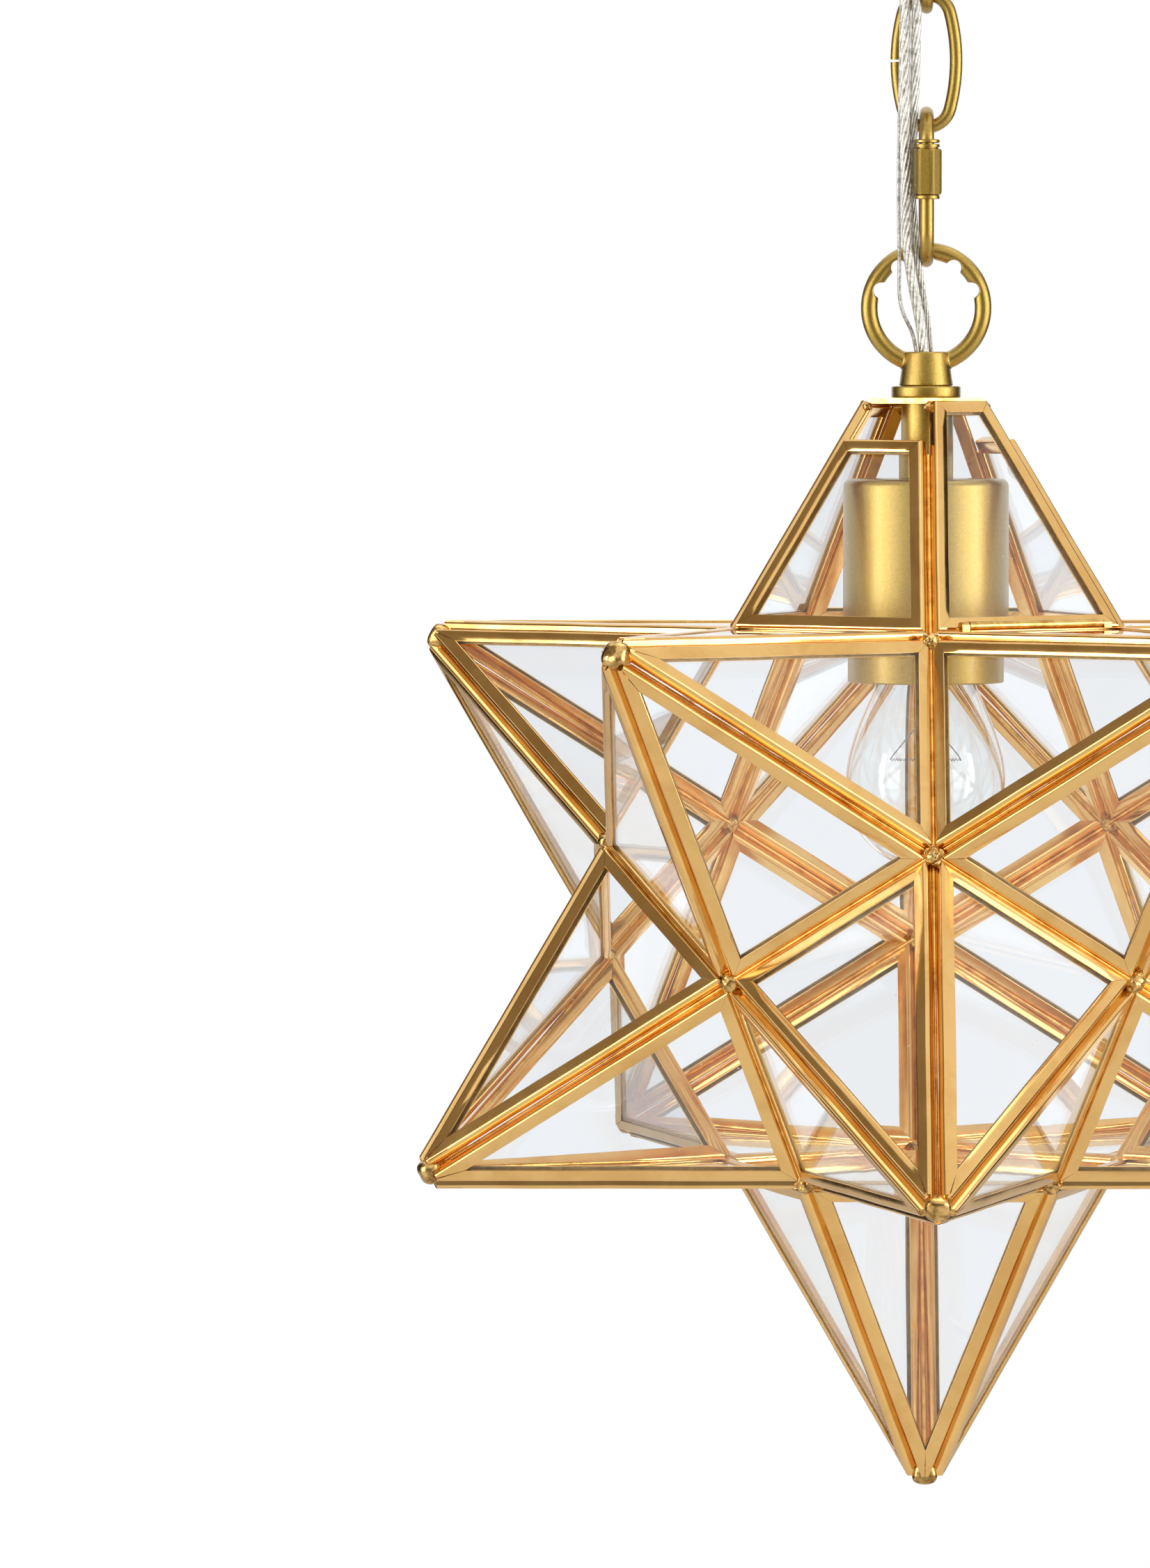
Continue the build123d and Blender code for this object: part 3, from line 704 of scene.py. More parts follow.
@dataclass
class StarShape:
    """The sizes and directions of a twelve-pointed star, in millimetres."""

    star_r: float = 174.0
    edge_share: float = 0.401622
    thickness: float = 4.0
    seam_gap: float = 0.03
    tip_cut: float = 6.4
    top_cut: float = 29.0
    vent_drop: float = 11.2
    short_panes: tuple[int, int] = (0, 2)
    centre: Vector = field(default_factory=Vector)
    tips: dict = field(default_factory=dict)

    def __post_init__(self) -> None:
        """Works out the lengths and tips that follow from the radius."""
        edge = self.star_r * self.edge_share
        self.corner_r = edge * math.sqrt(3) * PHI / 2
        self.face_h = self.star_r / math.sqrt(5)
        self.face_in = edge / (2 * math.tan(math.pi / 5))
        self.pane_h = edge / 2 * math.tan(math.radians(72))
        self.lean_up = (self.star_r - self.face_h) / self.pane_h
        self.lean_in = self.face_in / self.pane_h
        self.inset = self.thickness / 2 / PHI + self.seam_gap
        ring = self.star_r * 2 / math.sqrt(5)
        low_a, high_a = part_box("frames_upper_right")
        low_b, high_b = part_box("frames_lower_left")
        self.centre = (low_a + high_a + low_b + high_b) / 4
        self.tips = {"lid": Vector((0, 0, self.star_r))}
        names = ["upper_front_left", "upper_front_right", "upper_right", "upper_back", "upper_left"]
        for name, azimuth in zip(names, (-126, -54, 18, 90, 162)):
            self.tips[name] = self.polar(ring, azimuth, self.face_h)
        names = ["lower_front", "lower_right", "lower_back_right", "lower_back_left", "lower_left"]
        for name, azimuth in zip(names, (-90, -18, 54, 126, -162)):
            self.tips[name] = self.polar(ring, azimuth, -self.face_h)
        self.tips["bottom"] = Vector((0, 0, -self.star_r))

    @staticmethod
    def polar(radius: float, azimuth: float, height: float = 0.0) -> Vector:
        """A point at a radius, an azimuth in degrees and a height."""
        turn = math.radians(azimuth)
        return Vector((radius * math.cos(turn), radius * math.sin(turn), height))

    def place(self, point: Vector) -> Vector:
        """A point counted from the star's centre in millimetres, in the shared frame in metres."""
        return self.centre + point * MM

    def neighbours(self, tip: Vector) -> list[Vector]:
        """The five tips round this one, in order.

        Args:
            tip: one of the twelve tips.

        Returns:
            Its neighbours, sorted by angle from the first.
        """
        axis = unit(tip)
        near = [t for t in self.tips.values() if abs(unit(t).dot(axis) - 1 / math.sqrt(5)) < 0.01]
        first = unit(near[0] - axis * near[0].dot(axis))
        side = axis.cross(first)

        def angle(other: Vector) -> float:
            """The angle of a tip round the axis, just over 0 for the first."""
            return (math.atan2(other.dot(side), other.dot(first)) + 0.1) % (2 * math.pi)

        return sorted(near, key=angle)

    def inner_corner(self, *three: Vector) -> Vector:
        """The inner corner that three tips share."""
        return unit(three[0] + three[1] + three[2]) * self.corner_r

    def corners(self) -> list[tuple[Vector, bool]]:
        """The twenty inner corners, and whether each touches the lid.

        Returns:
            Pairs of a corner in millimetres from the centre and a flag.
        """
        found: list[tuple[Vector, bool]] = []
        for tip in self.tips.values():
            around = self.neighbours(tip)
            for i, t in enumerate(around):
                corner = self.inner_corner(tip, around[i - 1], t)
                if all((corner - other).length > 1 for other, _ in found):
                    on_lid = any(abs(p.z - self.star_r) < 1 for p in (tip, around[i - 1], t))
                    found.append((corner, on_lid))
        return found

    def panes(self, tip: Vector) -> list[Matrix]:
        """A matrix for each pane of a point: x along its base, y to the tip, z outward.

        Args:
            tip: one of the twelve tips.

        Returns:
            Five matrices in millimetres from the star's centre.
        """
        around = self.neighbours(tip)
        found = []
        for i, t in enumerate(around):
            a = self.inner_corner(tip, around[i - 1], t)
            b = self.inner_corner(tip, t, around[(i + 1) % 5])
            middle = (a + b) / 2
            x, z = unit(b - a), unit((b - a).cross(tip - middle))
            turn = Matrix((x, z.cross(x), z)).transposed().to_4x4()
            found.append(Matrix.Translation(middle) @ turn)
        return found

    def outline(self, top: Optional[float] = None) -> list[Pair]:
        """A pane's outer edge, drawn in by the inset.

        Args:
            top: the height at which it is cut straight, or None for a sharp end.

        Returns:
            Its corners, counter-clockwise.
        """
        half_tip = math.radians(18)
        slope = math.tan(half_tip)
        apex = self.pane_h - self.inset / math.sin(half_tip)
        half = (apex - self.inset) * slope
        if top is None:
            return [(-half, self.inset), (half, self.inset), (0, apex)]
        narrow = (apex - top) * slope
        return [(-half, self.inset), (half, self.inset), (narrow, top), (-narrow, top)]

    def lid_tops(self) -> list[float]:
        """Where each of the lid's panes is cut, counted along its height."""
        lid_top = self.star_r - self.top_cut
        tall, short = (
            (z - self.face_h - self.lean_in * self.thickness / 2) / self.lean_up
            for z in (lid_top, lid_top - self.vent_drop)
        )
        return [short if i in self.short_panes else tall for i in range(5)]


@dataclass
class ChannelWork:
    """Folded channel mitred round every pane, a strut for each side."""

    star: StarShape
    palette: Palette
    width: float = 4.0
    sheet: float = 0.5
    fold_r: float = 1.05
    mitre_gap: float = 0.05
    waver: float = 0.06
    tilt: float = 0.2
    stations: int = 12
    plug_depth: float = 2.2
    plug_l: float = 7.0
    seam_depth: float = 1.55
    seam_r: float = 0.56
    seam_swell: float = 0.14
    seam_steps: int = 60
    lid_seam_gap: float = 4.0
    seed: int = 11

    def section(self, tilt: float = 0.0) -> list[Pair]:
        """The channel's cross-section: depth from the pane's edge, and height off its middle.

        Args:
            tilt: how much lower the flanges lie at the fold than at the lip, or the other way.

        Returns:
            Points counter-clockwise round the folded sheet.
        """
        t, r, w, inner = self.star.thickness / 2, self.fold_r, self.width, self.sheet + 0.02
        at_fold, at_lip = t - max(tilt, 0.0), t + min(tilt, 0.0)
        top = arc((r, at_fold - r), r, 90, 180, 6)
        bottom = arc((r, r - at_fold), r, 180, 270, 6)
        lip = [(w - 0.12, at_lip), (w, at_lip - 0.1), (w, t - 0.4), (w - 0.06, t - inner + 0.04)]
        groove = [(inner, t - inner + 0.04), (inner, inner - t - 0.04)]
        lower = [(w - 0.06, inner - t - 0.04), (w, 0.4 - t), (w, 0.1 - at_lip), (w - 0.12, -at_lip)]
        return [*top, *bottom, *reversed(lower), *reversed(groove), *reversed(lip)]

    def strut(
        self,
        sketch: Sketch,
        pane: Matrix,
        corners: list[Pair],
        index: int,
        dice: random.Random,
        cut: bool,
    ) -> None:
        """Adds one side's channel, mitred at both ends.

        Args:
            sketch: the sketch it is added to.
            pane: the pane's matrix.
            corners: the pane's outline.
            index: which side of the outline.
            dice: the seeded source of its small bends.
            cut: whether the pane's sharp end is cut off square to the point's axis.
        """
        star, count = self.star, len(corners)
        before, p, q, after = (np.array(corners[(index + k) % count]) for k in (-1, 0, 1, 2))
        length = float(np.linalg.norm(q - p))
        along = (q - p) / length
        inward = np.array([-along[1], along[0]])
        start_turn, end_turn = half_angle(p, before, q), half_angle(q, p, after)
        section = self.section(dice.uniform(-self.tilt, self.tilt))
        phases = [dice.uniform(0, 2 * math.pi) for _ in range(4)]
        climbs = cut and abs(along[1]) > 0.01
        cut_at = star.pane_h - star.tip_cut / star.lean_up
        rows = np.zeros((self.stations, len(section), 3))
        for k, (depth, height) in enumerate(section):
            first = depth / math.tan(start_turn) + self.mitre_gap
            last = length - depth / math.tan(end_turn) - self.mitre_gap
            if climbs:
                top = cut_at - height * star.lean_in / star.lean_up
                stop = (top - p[1] - inward[1] * depth) / along[1]
                first, last = (first, min(last, stop)) if along[1] > 0 else (max(first, stop), last)
            last = max(last, first + 0.02)
            for i in range(self.stations):
                share = i / (self.stations - 1)
                at = first + (last - first) * share
                wave = self.waver * min(1.0, 6 * share, 6 * (1 - share))
                bow = wave * (math.sin(at * 0.11 + phases[0]) + 0.4 * math.sin(at * 0.37 + phases[1]))
                lift = 0.7 * wave * math.sin(at * 0.16 + phases[2])
                flat = p + along * at + inward * (depth + max(bow, -0.02))
                rows[i, k] = star.place(pane @ Vector((flat[0], flat[1], height + lift)))
        sketch.grid(rows, offset=(dice.uniform(0, 9), dice.uniform(0, 9)))
        if climbs:
            end = p + along * ((cut_at - p[1]) / along[1])
            self.plug(sketch, pane, end, -along if along[1] > 0 else along, inward)

    def seams(self, sketch: Sketch, name: str) -> None:
        """Adds the solder that runs along the bottom of a point's grooves and valleys.

        Args:
            sketch: the sketch it is added to.
            name: the point's name among the star's tips.
        """
        star, tip = self.star, self.star.tips[name]
        around = star.neighbours(tip)
        names = [next(n for n, t in star.tips.items() if t is other) for other in around]
        corners = [star.inner_corner(tip, around[i - 1], around[i]) for i in range(5)]
        lid_end = star.star_r - star.top_cut - star.vent_drop - self.lid_seam_gap
        for i, corner in enumerate(corners):
            groove = unit(unit(around[i - 1]) + unit(around[i])) * self.seam_depth
            top = tip - unit(tip) * (star.tip_cut + 1.0)
            if name == "lid":
                top = corner + (tip - corner) * ((lid_end - corner.z) / (tip.z - corner.z))
            self.bead(sketch, corner - groove, top - groove, i)
            if name < names[i] and "lid" not in (name, names[i]):
                valley = unit(unit(tip) + unit(around[i])) * self.seam_depth
                self.bead(sketch, corner + valley, corners[(i + 1) % 5] + valley, i + 7)

    def bead(self, sketch: Sketch, start: Vector, end: Vector, index: int) -> None:
        """Adds one uneven run of solder.

        Args:
            sketch: the sketch it is added to.
            start: its first end, in millimetres from the star's centre.
            end: its other end.
            index: where in the noise field its swellings are taken from.
        """
        share = np.linspace(0, 1, self.seam_steps)[:, None]
        a, b = np.array(self.star.place(start)), np.array(self.star.place(end))
        foot = Vector((index * 3.1 + start.x, 0, start.z * 0.1))
        spots = [foot + Vector((0, k * 0.22, 0)) for k in range(self.seam_steps)]
        swell = np.array([1 + self.seam_swell * fields.noise(spot) for spot in spots])
        tube(sketch, a + (b - a) * share, self.seam_r * MM * swell, 10)

    def plug(
        self, sketch: Sketch, pane: Matrix, at: np.ndarray, along: np.ndarray, inward: np.ndarray
    ) -> None:
        """Adds the closed end of a strut by the tip, where its channel is full.

        Args:
            sketch: the sketch it is added to.
            pane: the pane's matrix.
            at: the strut's end on the pane's outline.
            along: the direction back down the strut.
            inward: the direction into the pane.
        """
        t, near, far = self.star.thickness / 2 - 0.3, 0.3, self.plug_depth
        rows = np.zeros((2, 4, 3))
        for i, back in enumerate((0.15, self.plug_l)):
            for k, (depth, height) in enumerate(((near, -t), (far, -t), (far, t), (near, t))):
                lean = height * self.star.lean_in / self.star.lean_up / abs(along[1])
                flat = at + along * (back + lean + depth * abs(inward[1] / along[1])) + inward * depth
                rows[i, k] = self.star.place(pane @ Vector((flat[0], flat[1], height)))
        sketch.grid(rows)

    def point(self, name: str, node: str, body: Body) -> None:
        """Builds the channels round one point's panes.

        Args:
            name: the point's name among the star's tips.
            node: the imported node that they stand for.
            body: the body that they ride on.
        """
        dice = random.Random(self.seed + len(node) * 7 + ord(node[-1]))
        sketch = Sketch()
        tops = self.star.lid_tops() if name == "lid" else [None] * 5
        for pane, top in zip(self.star.panes(self.star.tips[name]), tops):
            corners = self.star.outline(top)
            for index in range(len(corners)):
                self.strut(sketch, pane, corners, index, dice, top is None)
        folded = len(sketch.faces)
        self.seams(sketch, name)
        made = dress(sketch.mesh(f"channels_{name}", 40), self.palette.get("channel"))
        for finish in ("seam", "inside"):
            made.data.materials.append(self.palette.get(finish))
        made.data.polygons.foreach_set("material_index", self.face_materials(sketch, folded))
        hand_to(made, body, node)

    def face_materials(self, sketch: Sketch, folded: int) -> list[int]:
        """Which material each face takes: plated outside, solder, or the bare inside of a fold.

        Args:
            sketch: the finished sketch.
            folded: how many of its faces are channel.

        Returns:
            A material index for each face.
        """
        found = [0] * folded + [1] * (len(sketch.faces) - folded)
        per = len(self.section())
        index = 0
        while index < folded:
            face = sketch.faces[index]
            if len(face) == 4 and face[3] - face[0] == per:
                found[index + per - 7 : index + per - 4] = [2] * 3
                index += per
            else:
                index += 1
        return found

    def build(self) -> None:
        """Builds every point's channels and dresses the panes that they hold."""
        for name in self.star.tips:
            is_lid = name == "lid"
            node = "lid_frames" if is_lid else f"frames_{name}"
            self.point(name, node, Body.LID if is_lid else Body.STAR)
            dress_node("lid_glass" if is_lid else f"glass_{name}", self.palette.get("pane"))
            LOG.info("channels and panes of %s", name)


@dataclass
class SolderWork:
    """Domes over the tips, lumps at the inner corners and dots round the top plate."""

    star: StarShape
    palette: Palette
    cap_r: float = 4.0
    cap_sink: float = 0.6
    joint_r: float = 3.5
    dot_r: float = 1.3
    dot_ring: float = 18.0
    cap_rough: float = 0.035
    joint_rough: float = 0.2
    dot_rough: float = 0.18
    small_drops: int = 5
    seed: int = 5

    def blob(
        self,
        sketch: Sketch,
        at: Vector,
        axis: Vector,
        size: Pair,
        rough: float,
        shift: Vector,
        boxy: bool = False,
    ) -> None:
        """Adds one frozen drop of solder.

        Args:
            sketch: the sketch it is added to.
            at: its centre, in millimetres from the star's centre.
            axis: the direction it bulges in.
            size: its radius across and along the axis, in millimetres.
            rough: how uneven it is, as a share of its size.
            shift: where in the noise field it is taken from.
            boxy: whether its end is flattened, as a tip's cap is.
        """
        rings, per = 20, 32
        turn = axis.to_track_quat("Z", "Y").to_matrix()
        rows = np.zeros((rings, per, 3))
        for i in range(rings):
            rise = math.pi * (i + 0.5) / rings
            level = math.sin(rise)
            for k in range(per):
                side = 2 * math.pi * k / per
                way = Vector((level * math.cos(side), level * math.sin(side), -math.cos(rise)))
                swell = 1 + rough * fields.fractal(way * 1.7 + shift, 0.9, 2.0, 3)
                block = sum(abs(c) ** 3 for c in way) ** (-1 / 3) if boxy else 1.0
                local = Vector((way.x * size[0], way.y * size[0], way.z * size[1])) * (swell * block)
                rows[i, k] = self.star.place(at + turn @ local)
        sketch.grid(rows)

    def finish(self, sketch: Sketch, name: str, node: str, body: Body) -> None:
        """Makes one piece of all its drops.

        Args:
            sketch: the drops.
            name: the piece's name.
            node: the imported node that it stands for.
            body: the body that it rides on.
        """
        made = dress(sketch.mesh(name, 70), self.palette.get("solder"))
        hand_to(made, body, node)
        LOG.info("solder: %s", name)

    def build(self) -> None:
        """Builds the caps, the corner lumps and the dots of the top plate."""
        dice = random.Random(self.seed)

        def anywhere() -> Vector:
            """A spot in the noise field for the next drop."""
            return Vector([dice.uniform(0, 50) for _ in range(3)])

        caps = Sketch()
        for name, tip in self.star.tips.items():
            if name != "lid":
                axis = unit(tip)
                at = tip - axis * (self.star.tip_cut + self.cap_sink)
                across = self.cap_r * dice.uniform(0.88, 1.02)
                high = self.cap_r * dice.uniform(0.8, 0.9)
                self.blob(caps, at, axis, (across, high), self.cap_rough, anywhere(), True)
        self.finish(caps, "tip_solder", "tip_caps", Body.STAR)
        joints = Sketch()
        for corner, on_lid in self.star.corners():
            outward = unit(Vector((corner.x, corner.y, 0)))
            if on_lid:
                at, axis, size = corner + outward * 3.6 - Vector((0, 0, 1.0)), outward, (2.6, 1.7)
            else:
                at, axis, size = corner + unit(corner) * 0.6, unit(corner), (self.joint_r, 3.2)
            wide, high = size[0] * dice.uniform(0.72, 0.85), size[1] * 0.8
            self.blob(joints, at, axis, (wide, high), self.joint_rough, anywhere())
            across = axis.orthogonal().normalized()
            for k in range(self.small_drops):
                share = (k + dice.uniform(-0.2, 0.2)) / self.small_drops
                turn = Matrix.Rotation(2 * math.pi * share, 3, axis)
                shift = turn @ across * size[0] * dice.uniform(0.45, 0.66)
                small = size[0] * dice.uniform(0.3, 0.46)
                drop = (small, small * 0.9)
                self.blob(joints, at + shift, axis, drop, self.joint_rough, anywhere())
        self.finish(joints, "corner_solder", "solder_joints", Body.STAR)
        dots = Sketch()
        low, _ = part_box("lid_plate")
        height = (low.z - self.star.centre.z) / MM - 0.9
        for i in range(5):
            at = self.star.polar(self.dot_ring, -90 + 72 * i, height)
            self.blob(dots, at, Vector((0, 0, 1)), (self.dot_r, 1.2), self.dot_rough, anywhere())
        self.finish(dots, "plate_solder", "lid_solder", Body.LID)


# ---------------------------------------------------------------------------------------------
# What the star hangs from, and its lamp
# ---------------------------------------------------------------------------------------------


@dataclass
class CastLoops:
    """The two cast loops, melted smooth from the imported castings."""

    palette: Palette
    voxel: float = 0.3
    melt: int = 5
    kept: float = 0.3

    def build(self) -> None:
        """Builds the lower and the upper loop."""
        for node, body in (("lid_loop", Body.LID), ("canopy_loop", Body.CEILING)):
            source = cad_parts[node]
            draft = new_object(f"draft_{node}", source.data.copy())
            melted = draft.modifiers.new("voxels", "REMESH")
            melted.mode, melted.voxel_size = "VOXEL", self.voxel * MM
            softer = draft.modifiers.new("soften", "SMOOTH")
            softer.factor, softer.iterations = 0.5, self.melt
            lighter = draft.modifiers.new("lighten", "DECIMATE")
            lighter.ratio = self.kept
            bpy.context.view_layer.update()
            seen = draft.evaluated_get(bpy.context.evaluated_depsgraph_get())
            made = new_object(f"cast_{node}", bpy.data.meshes.new_from_object(seen))
            bpy.data.objects.remove(draft)
            dress(soften(made, 60), self.palette.get("aged_gold"))
            hand_to(made, body, node)
            LOG.info("cast loop for %s", node)


@dataclass
class Chain:
    """Two bent links, the quick link and its hex sleeve."""

    palette: Palette
    link_l: float = 41.9
    link_w: float = 20.8
    link_bar: float = 1.85
    end_r: float = 7.0
    split: float = 0.7
    quick_l: float = 46.4
    quick_w: float = 21.0
    quick_bar: float = 2.05
    quick_open: float = 7.0
    nut_af: float = 7.45
    nut_l: float = 15.8
    nut_ring: float = 3.7
    nut_gap: float = 0.6

    def oval(self) -> np.ndarray:
        """A link's centre line from one side of its split round to the other.

        Returns:
            Points by two: across and up, in millimetres.
        """
        a, b = self.link_w / 2 - self.link_bar, self.link_l / 2 - self.link_bar
        side = (a**2 + (b - self.end_r) ** 2 - self.end_r**2) / (2 * (a - self.end_r))
        turn = math.degrees(math.atan2(b - self.end_r, side - a))
        skip = math.degrees(self.split / 2 / side)
        near = (-(a - side), 0)
        points = arc(near, side, 180 - skip, 180 - turn, 10)
        points += arc((0, b - self.end_r), self.end_r, 180 - turn, turn, 18)[1:]
        points += arc((a - side, 0), side, turn, -turn, 20)[1:]
        points += arc((0, self.end_r - b), self.end_r, -turn, turn - 180, 18)[1:]
        points += arc(near, side, 180 + turn, 180 + skip, 10)[1:]
        return np.array(points)

    @staticmethod
    def upright(flat: np.ndarray, node: str, turned: bool) -> np.ndarray:
        """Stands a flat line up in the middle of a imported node.

        Args:
            flat: points by two: across and up, in millimetres.
            node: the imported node.
            turned: whether it stands in the YZ plane.

        Returns:
            Points by three, in metres.
        """
        low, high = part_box(node)
        path = np.zeros((len(flat), 3))
        path[:, 1 if turned else 0] = flat[:, 0] * MM
        path[:, 2] = flat[:, 1] * MM + (low.z + high.z) / 2
        return path

    def finish(self, sketch: Sketch, name: str, crease: float, body: Body, node: str) -> None:
        """Makes one piece of the chain.

        Args:
            sketch: its shape.
            name: the piece's name.
            crease: the angle in degrees over which an edge stays sharp.
            body: the body that it rides on.
            node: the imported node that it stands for.
        """
        made = dress(sketch.mesh(name, crease), self.palette.get("aged_gold"))
        hand_to(made, body, node)

    def link(self, node: str, body: Body, turned: bool) -> None:
        """Builds one link of bent wire.

        Args:
            node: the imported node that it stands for.
            body: the body that it rides on.
            turned: whether it stands across the others.
        """
        sketch = Sketch()
        tube(sketch, self.upright(self.oval(), node, turned), self.link_bar * MM, 28)
        self.finish(sketch, f"bent_{node}", 50, body, node)

    def quick_link(self) -> None:
        """Builds the quick link's bent rod with its shoulder, and the sleeve round its open side."""
        low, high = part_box("quick_link")
        middle = (low.z + high.z) / 2
        leg = self.quick_w / 2 - self.quick_bar
        half = (self.quick_l - self.quick_w) / 2
        nut_top = half - self.nut_gap
        open_at = nut_top - self.nut_l / 2 - self.quick_open / 2
        points = [(-leg, open_at), (-leg, open_at - 3), (-leg, -half)]
        points += arc((0, -half), leg, 180, 360, 30)[1:]
        points += [(leg, -half / 2), (leg, 0), (leg, half / 2)]
        points += arc((0, half), leg, 0, 180, 30)
        points += [(-leg, half - 2), (-leg, open_at + self.quick_open)]
        sketch = Sketch()
        tube(sketch, self.upright(np.array(points), "quick_link", True), self.quick_bar * MM, 30)
        front = Vector((0, -leg * MM, middle))
        top, foot, inside, r = half + 0.75, half - 0.25, self.quick_bar - 0.3, self.nut_ring
        shoulder = [(inside, top), (r - 0.4, top), (r, top - 0.25), (r, foot + 0.15), (r - 0.2, foot),
                    (inside, foot)]
        collar = lathe(shoulder, front, 64)
        start = len(sketch.points)
        sketch.points += collar.points
        sketch.faces += [tuple(start + i for i in face) for face in collar.faces]
        sketch.surface += collar.surface
        self.finish(sketch, "bent_quick_link", 50, Body.HOOK, "quick_link")
        self.sleeve(front, nut_top)

    def sleeve(self, at: Vector, top: float) -> None:
        """Builds the hex sleeve: a chamfered hexagon between thin turned rings.

        Args:
            at: the foot of its centre line, in metres.
            top: its upper end over that, in millimetres.
        """
        bore, ring, free = self.quick_bar + 0.07, self.nut_ring, 9.0
        low = top - self.nut_l
        levels = [(low, ring - 0.2), (low + 0.15, ring), (low + 0.95, ring), (low + 1.15, ring - 0.4),
                  (low + 1.35, ring + 0.2), (low + 1.95, free), (top - 2.0, free),
                  (top - 1.45, ring + 0.2), (top - 1.2, ring - 0.5), (top - 1.0, ring - 0.5),
                  (top - 0.85, ring), (top - 0.15, ring), (top, ring - 0.2), (top, bore), (low, bore)]
        turns = 144
        rows = np.zeros((turns, len(levels), 3))
        for i in range(turns):
            angle = 2 * math.pi * i / turns
            off = (math.degrees(angle) - 20 + 30) % 60 - 30
            hexagon = self.nut_af / 2 / math.cos(math.radians(off))
            for k, (height, limit) in enumerate(levels):
                reach = min(limit, hexagon) if limit > bore else limit
                flat = reach * math.cos(angle), reach * math.sin(angle)
                rows[i, k] = at + Vector((*flat, height)) * MM
        sketch = Sketch()
        sketch.grid(rows, along=True)
        self.finish(sketch, "hex_sleeve", 25, Body.SLEEVE, "quick_link_nut")

    def build(self) -> None:
        """Builds the chain from the canopy down."""
        self.link("upper_chain_link", Body.UPPER_LINK, True)
        self.link("lower_chain_link", Body.LOWER_LINK, False)
        self.quick_link()
        LOG.info("chain: two links, quick link and sleeve")


@dataclass
class TopFitting:
    """Plate, collar, stem tube and socket cup under the lower loop, all turned or pressed."""

    palette: Palette
    stem_r: float = 7.15
    stem_wall: float = 0.7
    cup_r: float = 23.25
    cup_wall: float = 1.0
    edge_r: float = 2.2
    collar_r: float = 10.05
    collar_edge: float = 0.5
    thread_r: float = 5.0
    plain: tuple = (
        ("lid_pipe", "zinc"), ("cup_locknut", "zinc"), ("socket_body", "porcelain"),
        ("socket_shell", "shell"), ("socket_contact", "shell"), ("socket_leads", "insulation"),
        ("hinge_tube", "hinge"), ("hinge_rod", "hinge"), ("spring_catch", "spring"),
        ("crossbar", "zinc"), ("canopy_pipe", "zinc"), ("canopy_nuts", "zinc"),
        ("ground_screw", "enamel"), ("canopy", "aged_gold"),
    )

    @staticmethod
    def heights(node: str) -> Pair:
        """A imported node's lowest and highest points, in millimetres."""
        low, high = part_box(node)
        return low.z / MM, high.z / MM

    def turned(self, name: str, profile: list[Pair], node: str, body: Body) -> None:
        """Makes a turned piece from its profile.

        Args:
            name: the piece's name.
            profile: radius and height pairs in millimetres, in the shared frame.
            node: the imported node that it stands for.
            body: the body that it rides on.
        """
        made = dress(lathe(profile, Vector(), 160).mesh(name, 30), self.palette.get("aged_gold"))
        hand_to(made, body, node)
        LOG.info("turned %s", name)

    def collar(self, name: str, node: str, body: Body) -> None:
        """Builds one flanged collar with eased edges."""
        (a, b), r, e = self.heights(node), self.collar_r, self.collar_edge
        rim = [*arc((r - e, a + e), e, -90, 0, 4), *arc((r - e, b - e), e, 0, 90, 4)]
        profile = [(self.thread_r, a), *rim, (self.thread_r, b)]
        self.turned(name, profile, node, body)

    def build(self) -> None:
        """Builds the collars, the stem tube and the cup, and dresses the plate."""
        self.collar("lower_collar", "lid_collar", Body.LID)
        self.collar("upper_collar", "canopy_collar", Body.CEILING)
        (a, b), r, w, e = self.heights("stem_tube"), self.stem_r, self.stem_wall, 0.1
        stem = [(r - w, a), (r - e, a), (r, a + e), (r, b - e), (r - e, b), (r - w, b)]
        self.turned("stem", stem, "stem_tube", Body.LID)
        (a, b), r, w, e = self.heights("socket_cup"), self.cup_r, self.cup_wall, self.edge_r
        half, shoulder = (a + b) / 2, (r - e, b - e)
        cup = [(self.thread_r, b - w), (self.thread_r, b), (r * 0.6, b), *arc(shoulder, e, 90, 0, 8),
               (r, half), *arc((r - w / 2, a + w / 2), w / 2, 0, -180, 6), (r - w, half),
               *arc(shoulder, e - w, 0, 90, 6)]
        self.turned("cup", cup, "socket_cup", Body.LID)
        dress_node("lid_plate", self.palette.get("hinge"))
        for node, finish in self.plain:
            dress_node(node, self.palette.get(finish))
            LOG.info("dressed %s", node)


